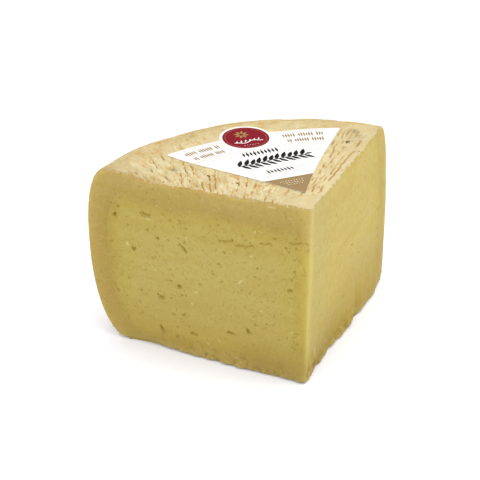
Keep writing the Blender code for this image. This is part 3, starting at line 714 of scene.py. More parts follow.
def cut_surface(u, point):
    """How far the cuts stand out of their planes, at these places of the skin, the shade painted
    in their eyes and hollows, and how pale they are there, with a painted highlight by the centre edge."""
    distance, height = np.abs(u), point[:, 2]
    on_cut = ease((WHEEL_RADIUS - distance) / CUT_MARKS_FADE)
    left = u < 0
    tuck = np.where(left, table(FOOT_TUCK, distance), 0) * MM
    relief = -tuck * (1 - ease(height / FOOT_HEIGHT))
    spread = table(FOOT_SPREAD, distance) * MM * (1 - ease(height / SPREAD_HEIGHT))
    relief += np.where(left, 0, spread)

    crumbly = 1 - ease(height / np.where(left, *CRUMB_HEIGHTS))
    clean = ease((distance - np.where(left, *SMOOTH_FOOT_FROM)) / CRUMB_HEIGHTS[0])
    clean *= np.where(left, *SMOOTH_FOOT)
    crumbly *= (1 - clean) * ease(distance / (2 * CENTRE_EDGE_REACH))
    crumbs, fine_crumbs = layered(point, CRUMBS), layered(point, FINE_CRUMBS)
    relief += CRUMB_DEPTH * crumbly * np.minimum(crumbs, CRUMB_PROUD)
    fine_depth = np.where(left, *FINE_CRUMB_DEPTHS)
    relief += fine_depth * crumbly * np.minimum(fine_crumbs, FINE_CRUMB_PROUD)
    # Painted shade in the hollows between the crumbs
    sunken = np.where(left, *CRUMB_HOLLOWS) - crumbs - 0.8 * fine_crumbs
    hollow = crumbly * ease(sunken / CRUMB_HOLLOW_SOFTNESS)
    raised = crumbs + fine_crumbs - CRUMB_PALE_FROM
    pale = CRUMB_PALE * crumbly * ease(raised / CRUMB_PALE_SOFTNESS)
    # A painted highlight along the centre edge, brightest just on the right cut and varying along it
    highlight_varies = 1 - EDGE_HIGHLIGHT_VARIES + EDGE_HIGHLIGHT_VARIES * lumps(point, EDGE_HIGHLIGHT_SIZE, 3.1)
    reach = np.where(u < EDGE_HIGHLIGHT_AT, *EDGE_HIGHLIGHT_REACHES)
    pale = np.maximum(pale, EDGE_HIGHLIGHT * highlight_varies * np.exp(-(((u - EDGE_HIGHLIGHT_AT) / reach) ** 2)))

    ragged = lumps(point, EYE_RAGGED_SIZE, 5.7)
    for side, here in ((-1, left), (1, ~left)):
        depth, dark = eye_relief(HOLLOWS[side], distance, height, ragged)
        light = pale_places(PALE_PLACES[side], distance, height, ragged)
        relief -= np.where(here, depth, 0)
        relief += np.where(here, FLAKE_RISE * light, 0)
        hollow = np.where(here, np.maximum(hollow, dark), hollow)
        pale = np.where(here, np.maximum(pale, light * (1 - dark)), pale)
    return relief * on_cut, hollow * on_cut, pale * on_cut


def wall_surface(u, v, point):
    """The marks of the mould on the wall: rows of dashes, one above the other."""
    on_wall = ease((np.abs(u) - WHEEL_RADIUS) / EDGE_FADE)
    row = np.floor(v / WALL_MARK_PITCH)
    place = np.stack((u, row * WALL_ROWS_APART * WALL_DASH, np.zeros_like(u)), -1)
    strength = ease((lumps(place, WALL_DASH, 1.7) + WALL_DASH_BIAS) / WALL_DASH_SOFTNESS)
    off = v - (row + 0.5) * WALL_MARK_PITCH - WALL_MARK_BEND * lumps(point, WALL_BEND_LENGTH, 7.2)
    marks = strength * np.exp(-((off / WALL_MARK_HALF_WIDTH) ** 2)) * on_wall
    rough = np.minimum(layered(point, WALL_ROUGH), WALL_PROUD) - WALL_PROUD
    return rough * on_wall - WALL_MARK_DEPTH * marks, marks


def carved_skin(u, v):
    """The skin as it really is: hand-cut, lumpy, crumbled at its foot and worn at its top edge."""
    point, normal = smooth_skin(u, v), skin_normal(u, v)
    level = point[:, 2] / HEIGHT
    out, hollow, pale = cut_surface(u, point)
    wall, wall_marks = wall_surface(u, v, point)
    out += wall - FOOT_RECESS * (1 - ease(point[:, 2] / FOOT_RECESS_HEIGHT))
    out += WAVE_DEPTH * lumps(point, WAVE_SIZE, 3.3) * ease(level / 0.15)
    on_top_edge = (v > SKIN_TOP - NO_LENGTH) & (np.abs(u) < WHEEL_RADIUS)
    out -= TOP_EDGE_WEAR * on_top_edge

    down = np.where(np.abs(u) < WHEEL_RADIUS, HEIGHT - point[:, 2], SKIN_TOP - v)
    on_cut = ease((WHEEL_RADIUS - np.abs(u)) / EDGE_FADE)
    broken = chips(np.abs(u), u < 0) * np.exp(-((down / CHIP_REACH) ** 2)) * on_cut
    out -= broken
    made = point + normal * out[:, None]

    rise, on_top = top_surface(point[:, :2])
    bend = ease(1 - down / CREST_REACH)
    form = top_form(point[:, :2])
    made[:, 2] += form * level + (rise - form) * bend - TOP_EDGE_WEAR * on_top_edge
    made[:, 2] = np.where(v < NO_LENGTH, 0, np.maximum(made[:, 2], LEAST_HEIGHT))

    past = np.abs(u) - WHEEL_RADIUS
    from_edge = np.where(u < 0, EDGE_ZONE - EDGE_ZONE_SLOPE * u, BACK)
    under_top = down + np.where(u > 0, RIGHT_TOP_ZONE, 0)
    sides = np.clip(np.array((-past, under_top, v, from_edge)) / MM, 0, MOST_DEPTH)
    depth = -DEPTH_BLEND * np.log(np.exp(-sides / DEPTH_BLEND).sum(axis=0))
    across, along = fan(point[:, :2])
    channels = channel_rows(
        len(u),
        rind_way=np.maximum(past, -down) / MM,
        depth=np.maximum(depth, 0) * (past < 0),
        hollow=hollow,
        pale=pale,
        mark=wall_marks + on_top[:, CHANNELS.index("mark")] * (down < RIM_LINE),
        fan_across=across + down / MM,
        fan_along=along,
        out=np.hypot(*point[:, :2].T) / MM,
    )
    return made, channels


def nested_lattice(low, high, wanted):
    """Points of a triangular lattice, thinned out by halves to the spacing wanted at each."""
    rise = FINE * math.sqrt(0.75)
    rows, columns = int((high[1] - low[1]) / rise) + 1, int((high[0] - low[0]) / FINE) + 2
    row, column = np.mgrid[0:rows, 0:columns]
    slanted = column - row // 2
    points = np.stack((low[0] + FINE * (column + row % 2 / 2), low[1] + rise * row), -1)
    level = np.zeros(row.shape, int)
    for doubling in (2, 4, 8):
        level += (row % doubling == 0) & (slanted % doubling == 0)
    points, level = points.reshape(-1, 2), level.ravel()
    spacing = wanted(points)
    kept = level >= np.clip(np.floor(np.log2(spacing / FINE) + 0.01), 0, 3)
    return points[kept], spacing[kept]


def triangulated(points, rim, prints=()):
    """Blender's Delaunay triangulation of flat points within a closed rim of some of them, which
    also gives the print polygons that cover each triangle."""
    edges = [(int(a), int(b)) for a, b in zip(rim, np.roll(rim, -1))]
    corners = [Vector(p) for p in np.vstack((points, *prints)) / MM]
    starts = np.cumsum([len(points), *map(len, prints)])
    polygons = [list(range(start, start + len(p))) for start, p in zip(starts, prints)]
    return delaunay_2d_cdt(corners, edges, polygons, 1, 1e-5)


def triangles(points, rim):
    """Delaunay triangles of flat points within a closed rim of some of them, anticlockwise."""
    found = triangulated(points, rim)
    faces, sources = found[2], found[3]
    return np.array([[sources[corner][0] for corner in face] for face in faces])


def spaced(points, gap):
    """The points in their order, less any in a cell of this size that has one already."""
    _, first = np.unique(np.floor(points / gap).astype(int), axis=0, return_index=True)
    return points[np.sort(first)]


def steps(start, end, step):
    return np.linspace(start, end, max(2, round(abs(end - start) / step) + 1))


def round_the_skin():
    """Places along u of the points that the skin shares with the top and with the bottom."""
    inner = UPRIGHT_COLUMNS[UPRIGHT_COLUMNS < CENTRE_EDGE_REACH]
    outer = UPRIGHT_COLUMNS[UPRIGHT_COLUMNS > 2 * CENTRE_EDGE_REACH]
    cut = steps(inner[-1], outer[0], CUT_EDGE_STEP)[1:]
    rind = steps(outer[-1], BACK, RIND_EDGE_STEP)[1:]
    half = np.concatenate((inner, cut, outer[1:], rind))
    return np.concatenate((-half[::-1], half))


def near_an_eye(points):
    """Whether each place of the skin is close enough to an eye to need fine facets."""
    found = np.zeros(len(points), bool)
    height = np.interp(points[:, 1], OUTLINE_WAY, OUTLINE[:, 0])
    for side in HOLLOWS:
        for eye in (*HOLLOWS[side], *PALE_PLACES[side]):
            across, up = eye_frame(eye, side * points[:, 0], height)
            found |= np.hypot(across, up) < 1 + 2 * EYE_SURROUND / min(eye[2:4])
    return found


def skin_spacing(points):
    u, v = np.abs(points[:, 0]), points[:, 1]
    on_cut = u < WHEEL_RADIUS
    near_foot = on_cut & (v < FOOT_FINE_TO)
    near_crest = on_cut & (v > SKIN_TOP - EDGE_FINE_TO)
    fine = near_foot | near_crest | near_an_eye(points)
    return np.where(fine, FINE, 2 * FINE)


def inside_the_skin():
    points, spacing = nested_lattice((-BACK, 0), (BACK, SKIN_TOP), skin_spacing)
    margin = np.min((points[:, 1], SKIN_TOP - points[:, 1], BACK - np.abs(points[:, 0])), axis=0)
    inside = margin > MARGIN * spacing
    points, spacing = points[inside], spacing[inside]
    made = []
    for side, eyes in HOLLOWS.items():
        for eye in eyes:
            height = np.interp(points[:, 1], OUTLINE_WAY, OUTLINE[:, 0])
            across, up = eye_frame(eye, side * points[:, 0], height)
            clear = np.hypot(across, up) > EYE_CLEARANCE
            points, spacing = points[clear], spacing[clear]
            rings = eye_points(eye)
            way_up = np.interp(rings[:, 1], OUTLINE[:, 0], OUTLINE_WAY)
            made.append(np.stack((side * rings[:, 0], way_up), -1))
    upright = steps(0, SKIN_TOP, UPRIGHT_STEP)[1:-1]
    for column in UPRIGHT_COLUMNS:
        made += [np.stack((np.full_like(upright, u), upright), -1) for u in (-column, column)]
        clear = np.abs(np.abs(points[:, 0]) - column) > 0.45 * spacing
        points, spacing = points[clear], spacing[clear]
    middle = np.abs(points[:, 0]) > UPRIGHT_COLUMNS[0]
    return np.vstack((points[middle], *made))


def over_the_quarter(wanted):
    """A nested lattice over the plan of the piece."""
    return nested_lattice((-WHEEL_RADIUS, 0), (WHEEL_RADIUS, WHEEL_RADIUS), wanted)


def inside_quarter(xy, radius):
    """How far each point lies inside a quarter of this radius."""
    return np.minimum(np.minimum(*cut_distances(xy)), radius - np.hypot(*xy.T))


def top_spacing(xy):
    under = label_shelter(xy) >= 1
    by_the_cuts = np.minimum(*cut_distances(xy)) < EDGE_FINE_TO
    return np.select([under, by_the_cuts], [8 * FINE, FINE], 2 * FINE)


def inside_the_top(radius):
    """Points across the top within this radius: on the grooves, and spread between them."""
    s = np.arange(0, 2 * WHEEL_RADIUS, GROOVE_STEP)
    rows = [
        groove.points(s[groove.strength(s) > 0.05], aside)
        for groove in grooves()
        for aside in GROOVE_ROWS
    ]
    on_grooves = np.vstack(rows)
    beside_cut = np.minimum(*cut_distances(on_grooves))
    clear = inside_quarter(on_grooves, min(radius, MARKS_TO)) > 0.8 * CUT_EDGE_STEP
    clear &= (beside_cut < 1.3 * STRIP) & (label_shelter(on_grooves) < 0.9)
    on_grooves = spaced(on_grooves[clear], GROOVE_POINTS_APART)
    spread, spacing = over_the_quarter(top_spacing)
    inside = inside_quarter(spread, radius) > MARGIN * spacing
    spread, spacing = spread[inside], spacing[inside]
    taken = np.unique(np.floor(on_grooves / FINE).astype(int), axis=0)
    taken = {(x + i, y + j) for x, y in taken.tolist() for i in (-1, 0, 1) for j in (-1, 0, 1)}
    cells = map(tuple, np.floor(spread / FINE).astype(int).tolist())
    free = np.array([cell not in taken for cell in cells])
    return np.vstack((on_grooves, spread[free]))


def inside_the_bottom(radius):
    points, _ = over_the_quarter(lambda xy: np.full(len(xy), 8 * FINE))
    return points[inside_quarter(points, radius) > FLAT_STEP / 2]


def in_scene(name, data):
    made = bpy.data.objects.new(name, data)
    bpy.context.scene.collection.objects.link(made)
    return made


def placed(name, points, faces, sharp_from):
    """A mesh object of these points, given from the wheel's axis, kept within the CAD box."""
    points = points + (*WHEEL_AXIS, 0)
    mesh = bpy.data.meshes.new(name)
    mesh.from_pydata(np.clip(points, *CAD_BOX).tolist(), [], faces.tolist())
    mesh.shade_smooth()
    mesh.set_sharp_from_angle(angle=math.radians(sharp_from))
    return in_scene(name, mesh)


def cheese():
    """One closed skin: the side all round, the top with its grooves, and the flat bottom."""
    edge, up = round_the_skin(), steps(0, SKIN_TOP, RIND_EDGE_STEP)[1:-1]
    count, rise = len(edge), len(up)
    foot = np.stack((edge, np.zeros(count)), -1)
    crest = np.stack((edge, np.full(count, SKIN_TOP)), -1)
    seams = [np.stack((np.full(rise, end), up), -1) for end in (-BACK, BACK)]
    flat = np.vstack((foot, crest, *seams, inside_the_skin()))
    body, channels = carved_skin(flat[:, 0], flat[:, 1])

    # The skin's two ends are one seam, so its last points are taken from its first ones
    same = np.arange(len(flat))
    same[count - 1], same[2 * count - 1] = 0, count
    same[2 * count + rise : 2 * count + 2 * rise] = np.arange(2 * count, 2 * count + rise)
    right = 2 * count + rise + np.arange(rise)
    left = 2 * count + np.arange(rise)
    rim = (np.arange(count), right, np.arange(2 * count - 1, count - 1, -1), left[::-1])
    faces = [same[triangles(flat, np.concatenate(rim))]]

    for level, inside, turned in ((0, inside_the_bottom, True), (1, inside_the_top, False)):
        loop = np.arange(level * count, (level + 1) * count - 1)
        plan = smooth_skin(edge[:-1], np.full(count - 1, level * SKIN_TOP))[:, :2]
        within = inside(np.hypot(*plan.T).max() - 2 * MM)
        number = np.concatenate((loop, np.arange(len(within)) + len(body)))
        found = number[triangles(np.vstack((plan, within)), np.arange(count - 1))]
        faces.append(found[:, ::-1] if turned else found)
        if level:
            height, own = top_surface(within)
            height += HEIGHT
        else:
            height = np.zeros(len(within))
            x, y, out = (*within.T / MM, np.hypot(*within.T) / MM)
            own = channel_rows(len(within), rind_way=ALL_RIND, fan_across=x, fan_along=y, out=out)
        body = np.vstack((body, np.column_stack((within, height))))
        channels = np.vstack((channels, own))

    faces = np.vstack(faces)
    used, faces = np.unique(faces, return_inverse=True)
    made = placed("cheese_quarter", body[used], faces.reshape(-1, 3), 55)
    for name, values in zip(CHANNELS, channels[used].T):
        made.data.attributes.new(name, "FLOAT", "POINT").data.foreach_set("value", values)
    made.data.materials.append(cheese_material())
    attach(made, "root")
    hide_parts("pecorino_wedge")
    return made


def soft_corner(before, corner, after, reach):
    """A rounded corner of the label, as one quadratic curve."""
    ways = [(p - corner) / np.linalg.norm(p - corner) for p in (before, after)]
    start, end = (corner + reach * way for way in ways)
    t = np.linspace(0, 1, CORNER_POINTS)[:, None]
    return (1 - t) ** 2 * start + 2 * t * (1 - t) * corner + t**2 * end


def label_outline():
    """The label's edge, anticlockwise from its tip: two bowed sides, and an arc that the round
    medallion breaks. Its three corners are rounded."""
    share = steps(0, 1, LABEL_STEP / LABEL_SIDES[0].length)
    right_side, left_side = (side.points(share) for side in LABEL_SIDES)
    corners = np.array((LABEL_TIP, right_side[-1], left_side[-1]))
    first, last = (math.atan2(*(corner - LABEL_ARC_CENTRE)[::-1]) for corner in corners[1:])
    arc_angles = np.linspace(first, last, ARC_POINTS)
    arc = LABEL_ARC_CENTRE + LABEL_ARC_RADIUS * np.stack((np.cos(arc_angles), np.sin(arc_angles)), -1)
    medallion = oval(MEDALLION_CENTRE, MEDALLION_RADII, MEDALLION_POINTS)
    clear_of_medallion = np.hypot(*((arc - MEDALLION_CENTRE) / MEDALLION_RADII).T) > 1.04
    proud_of_arc = np.hypot(*(medallion - LABEL_ARC_CENTRE).T) > LABEL_ARC_RADIUS + 0.3 * MM
    far_edge = np.vstack((arc[clear_of_medallion], medallion[proud_of_arc]))
    order = np.argsort(np.arctan2(*(far_edge - LABEL_ARC_CENTRE).T[::-1]))
    rim = []
    for path in (right_side, far_edge[order], left_side[::-1]):
        for corner, reach in zip(corners, LABEL_CORNERS):
            path = path[np.linalg.norm(path - corner, axis=1) > 1.5 * reach]
        rim.append(path)
    turns = [
        soft_corner(rim[k - 1][-1], corner, rim[k][0], reach)
        for k, (corner, reach) in enumerate(zip(corners, LABEL_CORNERS))
    ]
    return np.vstack([part for pair in zip(turns, rim) for part in pair])


def oval(centre, radii, count):
    angles = np.linspace(0, 2 * math.pi, count, endpoint=False)
    return centre + np.stack((np.cos(angles), np.sin(angles)), -1) * radii


def leaf(root, length, width, angle, steps_each_way=7):
    """A slender pointed leaf from its root, in millimetres, at this angle in degrees."""
    share = np.linspace(0, 1, steps_each_way)
    half = width / 2 * np.sin(math.pi * share**0.8)
    there = np.stack((length * share, -half), -1)
    back = np.stack((length * share, half), -1)[-2:0:-1]
    return turned(np.vstack((there, back)), angle, root)


def turned(points, angle, centre):
    """Points in millimetres, turned by this angle in degrees and moved, in metres."""
    cosine, sine = math.cos(math.radians(angle)), math.sin(math.radians(angle))
    return MM * (points @ np.array(((cosine, sine), (-sine, cosine))) + centre)


def ribbon(path, width):
    """A line of this width along a path, tapering to its ends, all in millimetres."""
    path = np.array(path, float)
    way = np.gradient(path, axis=0)
    way /= np.linalg.norm(way, axis=1, keepdims=True)
    aside = np.stack((-way[:, 1], way[:, 0]), -1)
    number = np.arange(len(path))
    taper = width / 2 * np.clip(np.minimum(number, number[::-1]) + 0.35, 0, 1)
    return MM * np.vstack((path - aside * taper[:, None], (path + aside * taper[:, None])[::-1]))


def lozenge(centre, length, width, angle):
    corners = np.array(((length / 2, 0), (0, width / 2), (-length / 2, 0), (0, -width / 2)))
    return turned(corners, angle, centre)


def along_the_arc(inward, angle):
    """A place in millimetres, this far inside the label's arc, and the way round it there."""
    radius = LABEL_ARC_RADIUS / MM - inward
    turn = math.radians(90 - angle)
    place = LABEL_ARC_CENTRE / MM + radius * np.array((math.cos(turn), math.sin(turn)))
    return place, -angle


def tip_print(edge):
    """The label's brown tip, out to its edge, with rows of pale dashes."""
    below = edge[:, 1] < TIP_PRINT_TO
    first, last = np.flatnonzero(below != np.roll(below, -1))[[0, -1]]
    ends = []
    for k in (first, last):
        start, end = edge[k], edge[k + 1]
        ends.append(start + (TIP_PRINT_TO - start[1]) / (end[1] - start[1]) * (end - start))
    field = np.vstack((edge[last + 1 :], edge[: first + 1], *ends))
    made = [("brown", field)]
    for row, (away, reach) in enumerate(TIP_ROWS):
        for across in np.arange(-reach, reach, 1.7):
            length = 1.2 if (row + round(across / 1.7)) % 3 else 0.6
            made.append(("cream", lozenge((5.8 + across, away), length, 0.95, 0)))
    return made


def stem(across):
    """The line of the sprig's stem across the label, in millimetres."""
    return np.stack((across, SPRIG_AWAY + 0.055 * (across + 17.5) + 0.6 * np.sin(across / 6)), -1)


def sprig():
    """The black sprig across the label's middle, and the small rows above and below it."""
    made = [ribbon(stem(np.linspace(-17.5, 29.5, 25)), 1.1)]
    for number, root in enumerate(stem(np.linspace(-16, 26, SPRIG_PAIRS))):
        length = SPRIG_LEAF + 0.9 * math.sin(2.1 * number)
        made.append(leaf(root, length, 3.0, 62 - 2.2 * (number % 3)))
        made.append(leaf(root + (1.7, 0), 0.86 * length, 2.7, -56 + 3 * (number % 2)))
    made.append(leaf((28.8, 75.2), 5.2, 2.2, 6))
    for number, x in enumerate(np.arange(-7, 16, 2.45)):
        made.append(lozenge((x, 88.0 + 0.03 * x), 9.0 if number % 2 else 7.0, 1.8, 84))
    for number, x in enumerate(np.arange(-2.5, 15, 2.2)):
        made.append(lozenge((x, 58.0 + 0.03 * x), 5.2 if number % 3 else 7.2, 1.6, 96))
    return [("black", polygon) for polygon in made]


def side_rows():
    """Brown rows of small lozenges on both sides of the medallion, between dotted lines."""
    made = []
    for first, last in SIDE_ROW_SPANS:
        for inward in SIDE_LINES:
            for angle in np.arange(first - 0.6, last + 0.6, 0.43):
                place, turn = along_the_arc(inward, angle)
                made.append(lozenge(place, 0.8, 0.8, turn + 45))
        for row, inward in enumerate(SIDE_ROWS):
            for number, angle in enumerate(np.arange(first + 0.7 + 0.5 * row, last - 0.7, 0.64)):
                if (number + 3 * row) % 7 == 5:
                    continue
                place, turn = along_the_arc(inward, angle)
                made.append(lozenge(place, 7.0 if number % 3 else 5.4, 1.4, turn + 90))
    return [("brown", polygon) for polygon in made]


# Lines of rolling ground, each through a few places, in millimetres
HILLS = (
    ((-30, 86), (-24, 89), (-18, 91), (-11, 90), (-4, 92.5), (4, 94), (12, 93)),
    ((-12, 64), (-7, 66.5), (-2, 66), (5, 64.5), (12, 65.5), (19, 68)),
    ((20, 84), (27, 87.5), (34, 88), (41, 85.5), (48, 86)),
    ((15, 58), (20, 60.5), (25, 61.5), (29, 60.5)),
    ((-8, 50), (-3, 53.4), (4, 54.8), (11, 53.8), (17, 54.5)),
    ((29, 79), (33, 80.4), (38, 79.6), (42, 80.5)),
)


def hills():
    """A faint grey line drawing of rolling ground behind the sprig."""
    made = []
    for line in HILLS:
        line = np.array(line, float)
        at = np.linspace(0, len(line) - 1, 4 * len(line))
        path = np.stack([np.interp(at, np.arange(len(line)), line[:, k]) for k in (0, 1)], -1)
        path[1:-1] = (path[:-2] + 2 * path[1:-1] + path[2:]) / 4
        made.append(("grey", ribbon(path, 0.8)))
    return made


def medallion_print():
    """The red field with a gold rosette, a dashed gold ring and a white twig."""
    made = [("red", oval(MEDALLION_CENTRE, FIELD_RADII, FIELD_POINTS))]
    centre = MEDALLION_CENTRE / MM
    for angle in range(0, 360, 5):
        turn = math.radians(angle)
        place = centre + 0.885 * FIELD_RADII / MM * (math.cos(turn), math.sin(turn))
        way = math.degrees(math.atan2(FIELD_RADII[1] * math.cos(turn), -FIELD_RADII[0] * math.sin(turn)))
        made.append(("gold", lozenge(place, 1.0, 0.42, way)))
    rosette = centre + (-1.2, 5.2)
    for petal in range(ROSETTE_PETALS):
        angle = (petal + 0.5) * 360 / ROSETTE_PETALS
        root = rosette + 1.1 * np.array((math.cos(math.radians(angle)), math.sin(math.radians(angle))))
        made.append(("gold", leaf(root, 4.0, 1.7, angle)))
    across = np.linspace(-9.6, 9.6, 22)
    twig = centre + np.stack((across, -5.4 + 1.1 * np.sin(across / 1.9) + 0.06 * across), -1)
    made.append(("white", ribbon(twig, 0.8)))
    for x in np.arange(-8.2, 9, 3.0):
        made.append(("white", leaf(centre + (x, -5.2 + 0.06 * x), 3.3, 1.05, 66)))
    for x in np.arange(-4.5, 5, 1.8):
        made.append(("white", lozenge(centre + (x, -10.2), 1.1, 0.5, 0)))
    return made


def label():
    """A sheet of paper that follows the top, its generic print flush in its upper face."""
    edge = label_outline()
    inside, _ = over_the_quarter(lambda xy: np.full(len(xy), 4 * FINE))
    inside = inside[label_shelter(inside) >= 1]
    gaps = np.min(np.linalg.norm(inside[:, None] - edge[None], axis=2), axis=1)
    inside = inside[gaps > 0.5 * LABEL_STEP]
    flat = np.vstack((edge, inside))
    prints = [*hills(), *tip_print(edge), *sprig(), *side_rows(), *medallion_print()]
    found = triangulated(flat, np.arange(len(edge)), [polygon for _, polygon in prints])
    upper, sheet = np.array(found[0]) * MM, np.array(found[2])
    inks = list(INKS)
    ink = [inks.index(prints[max(covering)][0]) if covering else 0 for covering in found[5]]

    place = np.column_stack((upper, np.zeros(len(upper))))
    lift = LABEL_WAVE * (1 + lumps(place, LABEL_WAVE_SIZE, 2.3))
    under = HEIGHT + top_form(upper) + LABEL_GAP
    rise = len(upper)
    levels = (under, under + LABEL_THICKNESS + lift)
    points = np.vstack([np.column_stack((upper, level)) for level in levels])
    numbers = {source: corner for corner, sources in enumerate(found[3]) for source in sources}
    start = np.array([numbers[corner] for corner in range(len(edge))])
    end = np.roll(start, -1)
    corners = ((start, end, end + rise), (start, end + rise, start + rise))
    walls = np.vstack([np.column_stack(triangle) for triangle in corners])
    faces = np.vstack((sheet + rise, sheet[:, ::-1], walls))
    made = placed("printed_label", points, faces, 40)
    for name in inks:
        made.data.materials.append(paper_material(name))
    ink += [0] * (len(faces) - len(ink))
    made.data.polygons.foreach_set("material_index", ink)
    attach(made, "root")
    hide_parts("paper_label")
    return made


def srgb(red, green, blue):
    """The paint of a colour given as it looks, from 0 to 255 in each channel."""
    share = np.array((red, green, blue)) / 255
    linear = np.where(share <= 0.04045, share / 12.92, ((share + 0.055) / 1.055) ** 2.4)
    return (*(PAINT_SHARE * linear).tolist(), 1)


class Material:
    """A material whose nodes are added one at a time, each from its inputs."""

    def __init__(self, name, roughness, **sockets):
        self.made = bpy.data.materials.new(name)
        self.made.use_nodes = True
        self.tree = self.made.node_tree
        self.shader = self.tree.nodes["Principled BSDF"]
        self.place = self.tree.nodes.new("ShaderNodeTexCoord").outputs["Object"]
        self.give(roughness=roughness, **sockets)

    def feed(self, socket, value):
        if isinstance(value, bpy.types.NodeSocket):
            self.tree.links.new(value, socket)
        else:
            socket.default_value = value

    def give(self, **sockets):
        """Feeds sockets of the shader, each named in small letters with _ for a space."""
        for name, value in sockets.items():
            self.feed(self.shader.inputs[self.socket_name(name)], value)

    def socket_name(self, name):
        plain = name.replace("_", " ")
        return next(s.name for s in self.shader.inputs if s.name.lower() == plain)

    def attribute(self, name):
        node = self.tree.nodes.new("ShaderNodeAttribute")
        node.attribute_name = name
        return node.outputs["Fac"]

    def height(self):
        """How high each point lies, in metres."""
        node = self.tree.nodes.new("ShaderNodeSeparateXYZ")
        self.feed(node.inputs[0], self.place)
        return node.outputs["Z"]

    def math(self, operation, *values):
        node = self.tree.nodes.new("ShaderNodeMath")
        node.operation = operation
        for socket, value in zip(node.inputs, values):
            self.feed(socket, value)
        return node.outputs[0]

    def times(self, *values):
        return self.math("MULTIPLY", *values)

    def joined(self, *values):
        node = self.tree.nodes.new("ShaderNodeCombineXYZ")
        for socket, value in zip(node.inputs, values):
            self.feed(socket, value)
        return node.outputs[0]

    def noise(self, size, detail=2.0, roughness=0.5, stretch=(1, 1, 1), seed=0.0, warp=0.0, place=None):
        """Noise from 0 to 1 with lumps about this size, drawn out along the axes."""
        mapping = self.tree.nodes.new("ShaderNodeMapping")
        mapping.inputs["Scale"].default_value = [1 / (size * s) for s in stretch]
        mapping.inputs["Location"].default_value = (seed, seed, seed)
        self.feed(mapping.inputs["Vector"], place or self.place)
        node = self.tree.nodes.new("ShaderNodeTexNoise")
        node.inputs["Scale"].default_value = 1
        node.inputs["Detail"].default_value = detail
        node.inputs["Roughness"].default_value = roughness
        node.inputs["Distortion"].default_value = warp
        self.feed(node.inputs["Vector"], mapping.outputs[0])
        return node.outputs["Fac"]

    def ranged(self, value, start, end, low=0.0, high=1.0):
        """The value carried smoothly from start..end to low..high."""
        node = self.tree.nodes.new("ShaderNodeMapRange")
        node.interpolation_type = "SMOOTHSTEP"
        for socket, given in zip(node.inputs, (value, start, end, low, high)):
            self.feed(socket, given)
        return node.outputs[0]

    def by(self, name, start, end, low=0.0, high=1.0):
        """One of CHANNELS, carried smoothly from start..end to low..high."""
        return self.ranged(self.attribute(name), start, end, low, high)

    def at_height(self, start, end, low=0.0, high=1.0):
        """The height in metres, carried smoothly from start..end to low..high."""
        return self.ranged(self.height(), start, end, low, high)

    def ramp(self, value, stops):
        node = self.tree.nodes.new("ShaderNodeValToRGB")
        elements = node.color_ramp.elements
        while len(elements) < len(stops):
            elements.new(0.5)
        for element, (position, colour) in zip(elements, stops):
            element.position = position
            element.color = srgb(*colour)
        self.feed(node.inputs["Fac"], value)
        return node.outputs["Color"]

    def mix(self, share, first, second, blend="MIX"):
        node = self.tree.nodes.new("ShaderNodeMix")
        node.data_type, node.blend_type = "RGBA", blend
        for name, value in (("Factor_Float", share), ("A_Color", first), ("B_Color", second)):
            self.feed(next(s for s in node.inputs if s.identifier == name), value)
        return next(s for s in node.outputs if s.identifier == "Result_Color")

    def painted(self, colour, *layers):
        """A colour with layers over it in turn, each given by its share and its own colour."""
        for share, tint in layers:
            own = tint if isinstance(tint, bpy.types.NodeSocket) else srgb(*tint)
            colour = self.mix(share, colour, own)
        return colour

    def bump(self, height, depth, before=None):
        """Shading as of a relief this deep in metres, on top of an earlier one."""
        node = self.tree.nodes.new("ShaderNodeBump")
        node.inputs["Distance"].default_value = depth
        self.feed(node.inputs["Height"], height)
        if before is not None:
            self.feed(node.inputs["Normal"], before)
        return node.outputs[0]


# The paste's colour by its depth under the rind, in shares of PASTE_RAMP millimetres
PASTE_RAMP = 40.0
PASTE_BY_DEPTH = (
    (0.0, (214, 188, 106)),
    (0.08, (196, 167, 90)),
    (0.24, (184, 156, 82)),
    (0.37, (180, 153, 77)),
    (0.5, (190, 167, 80)),
    (0.64, (195, 175, 90)),
    (1.0, (196, 177, 98)),
)


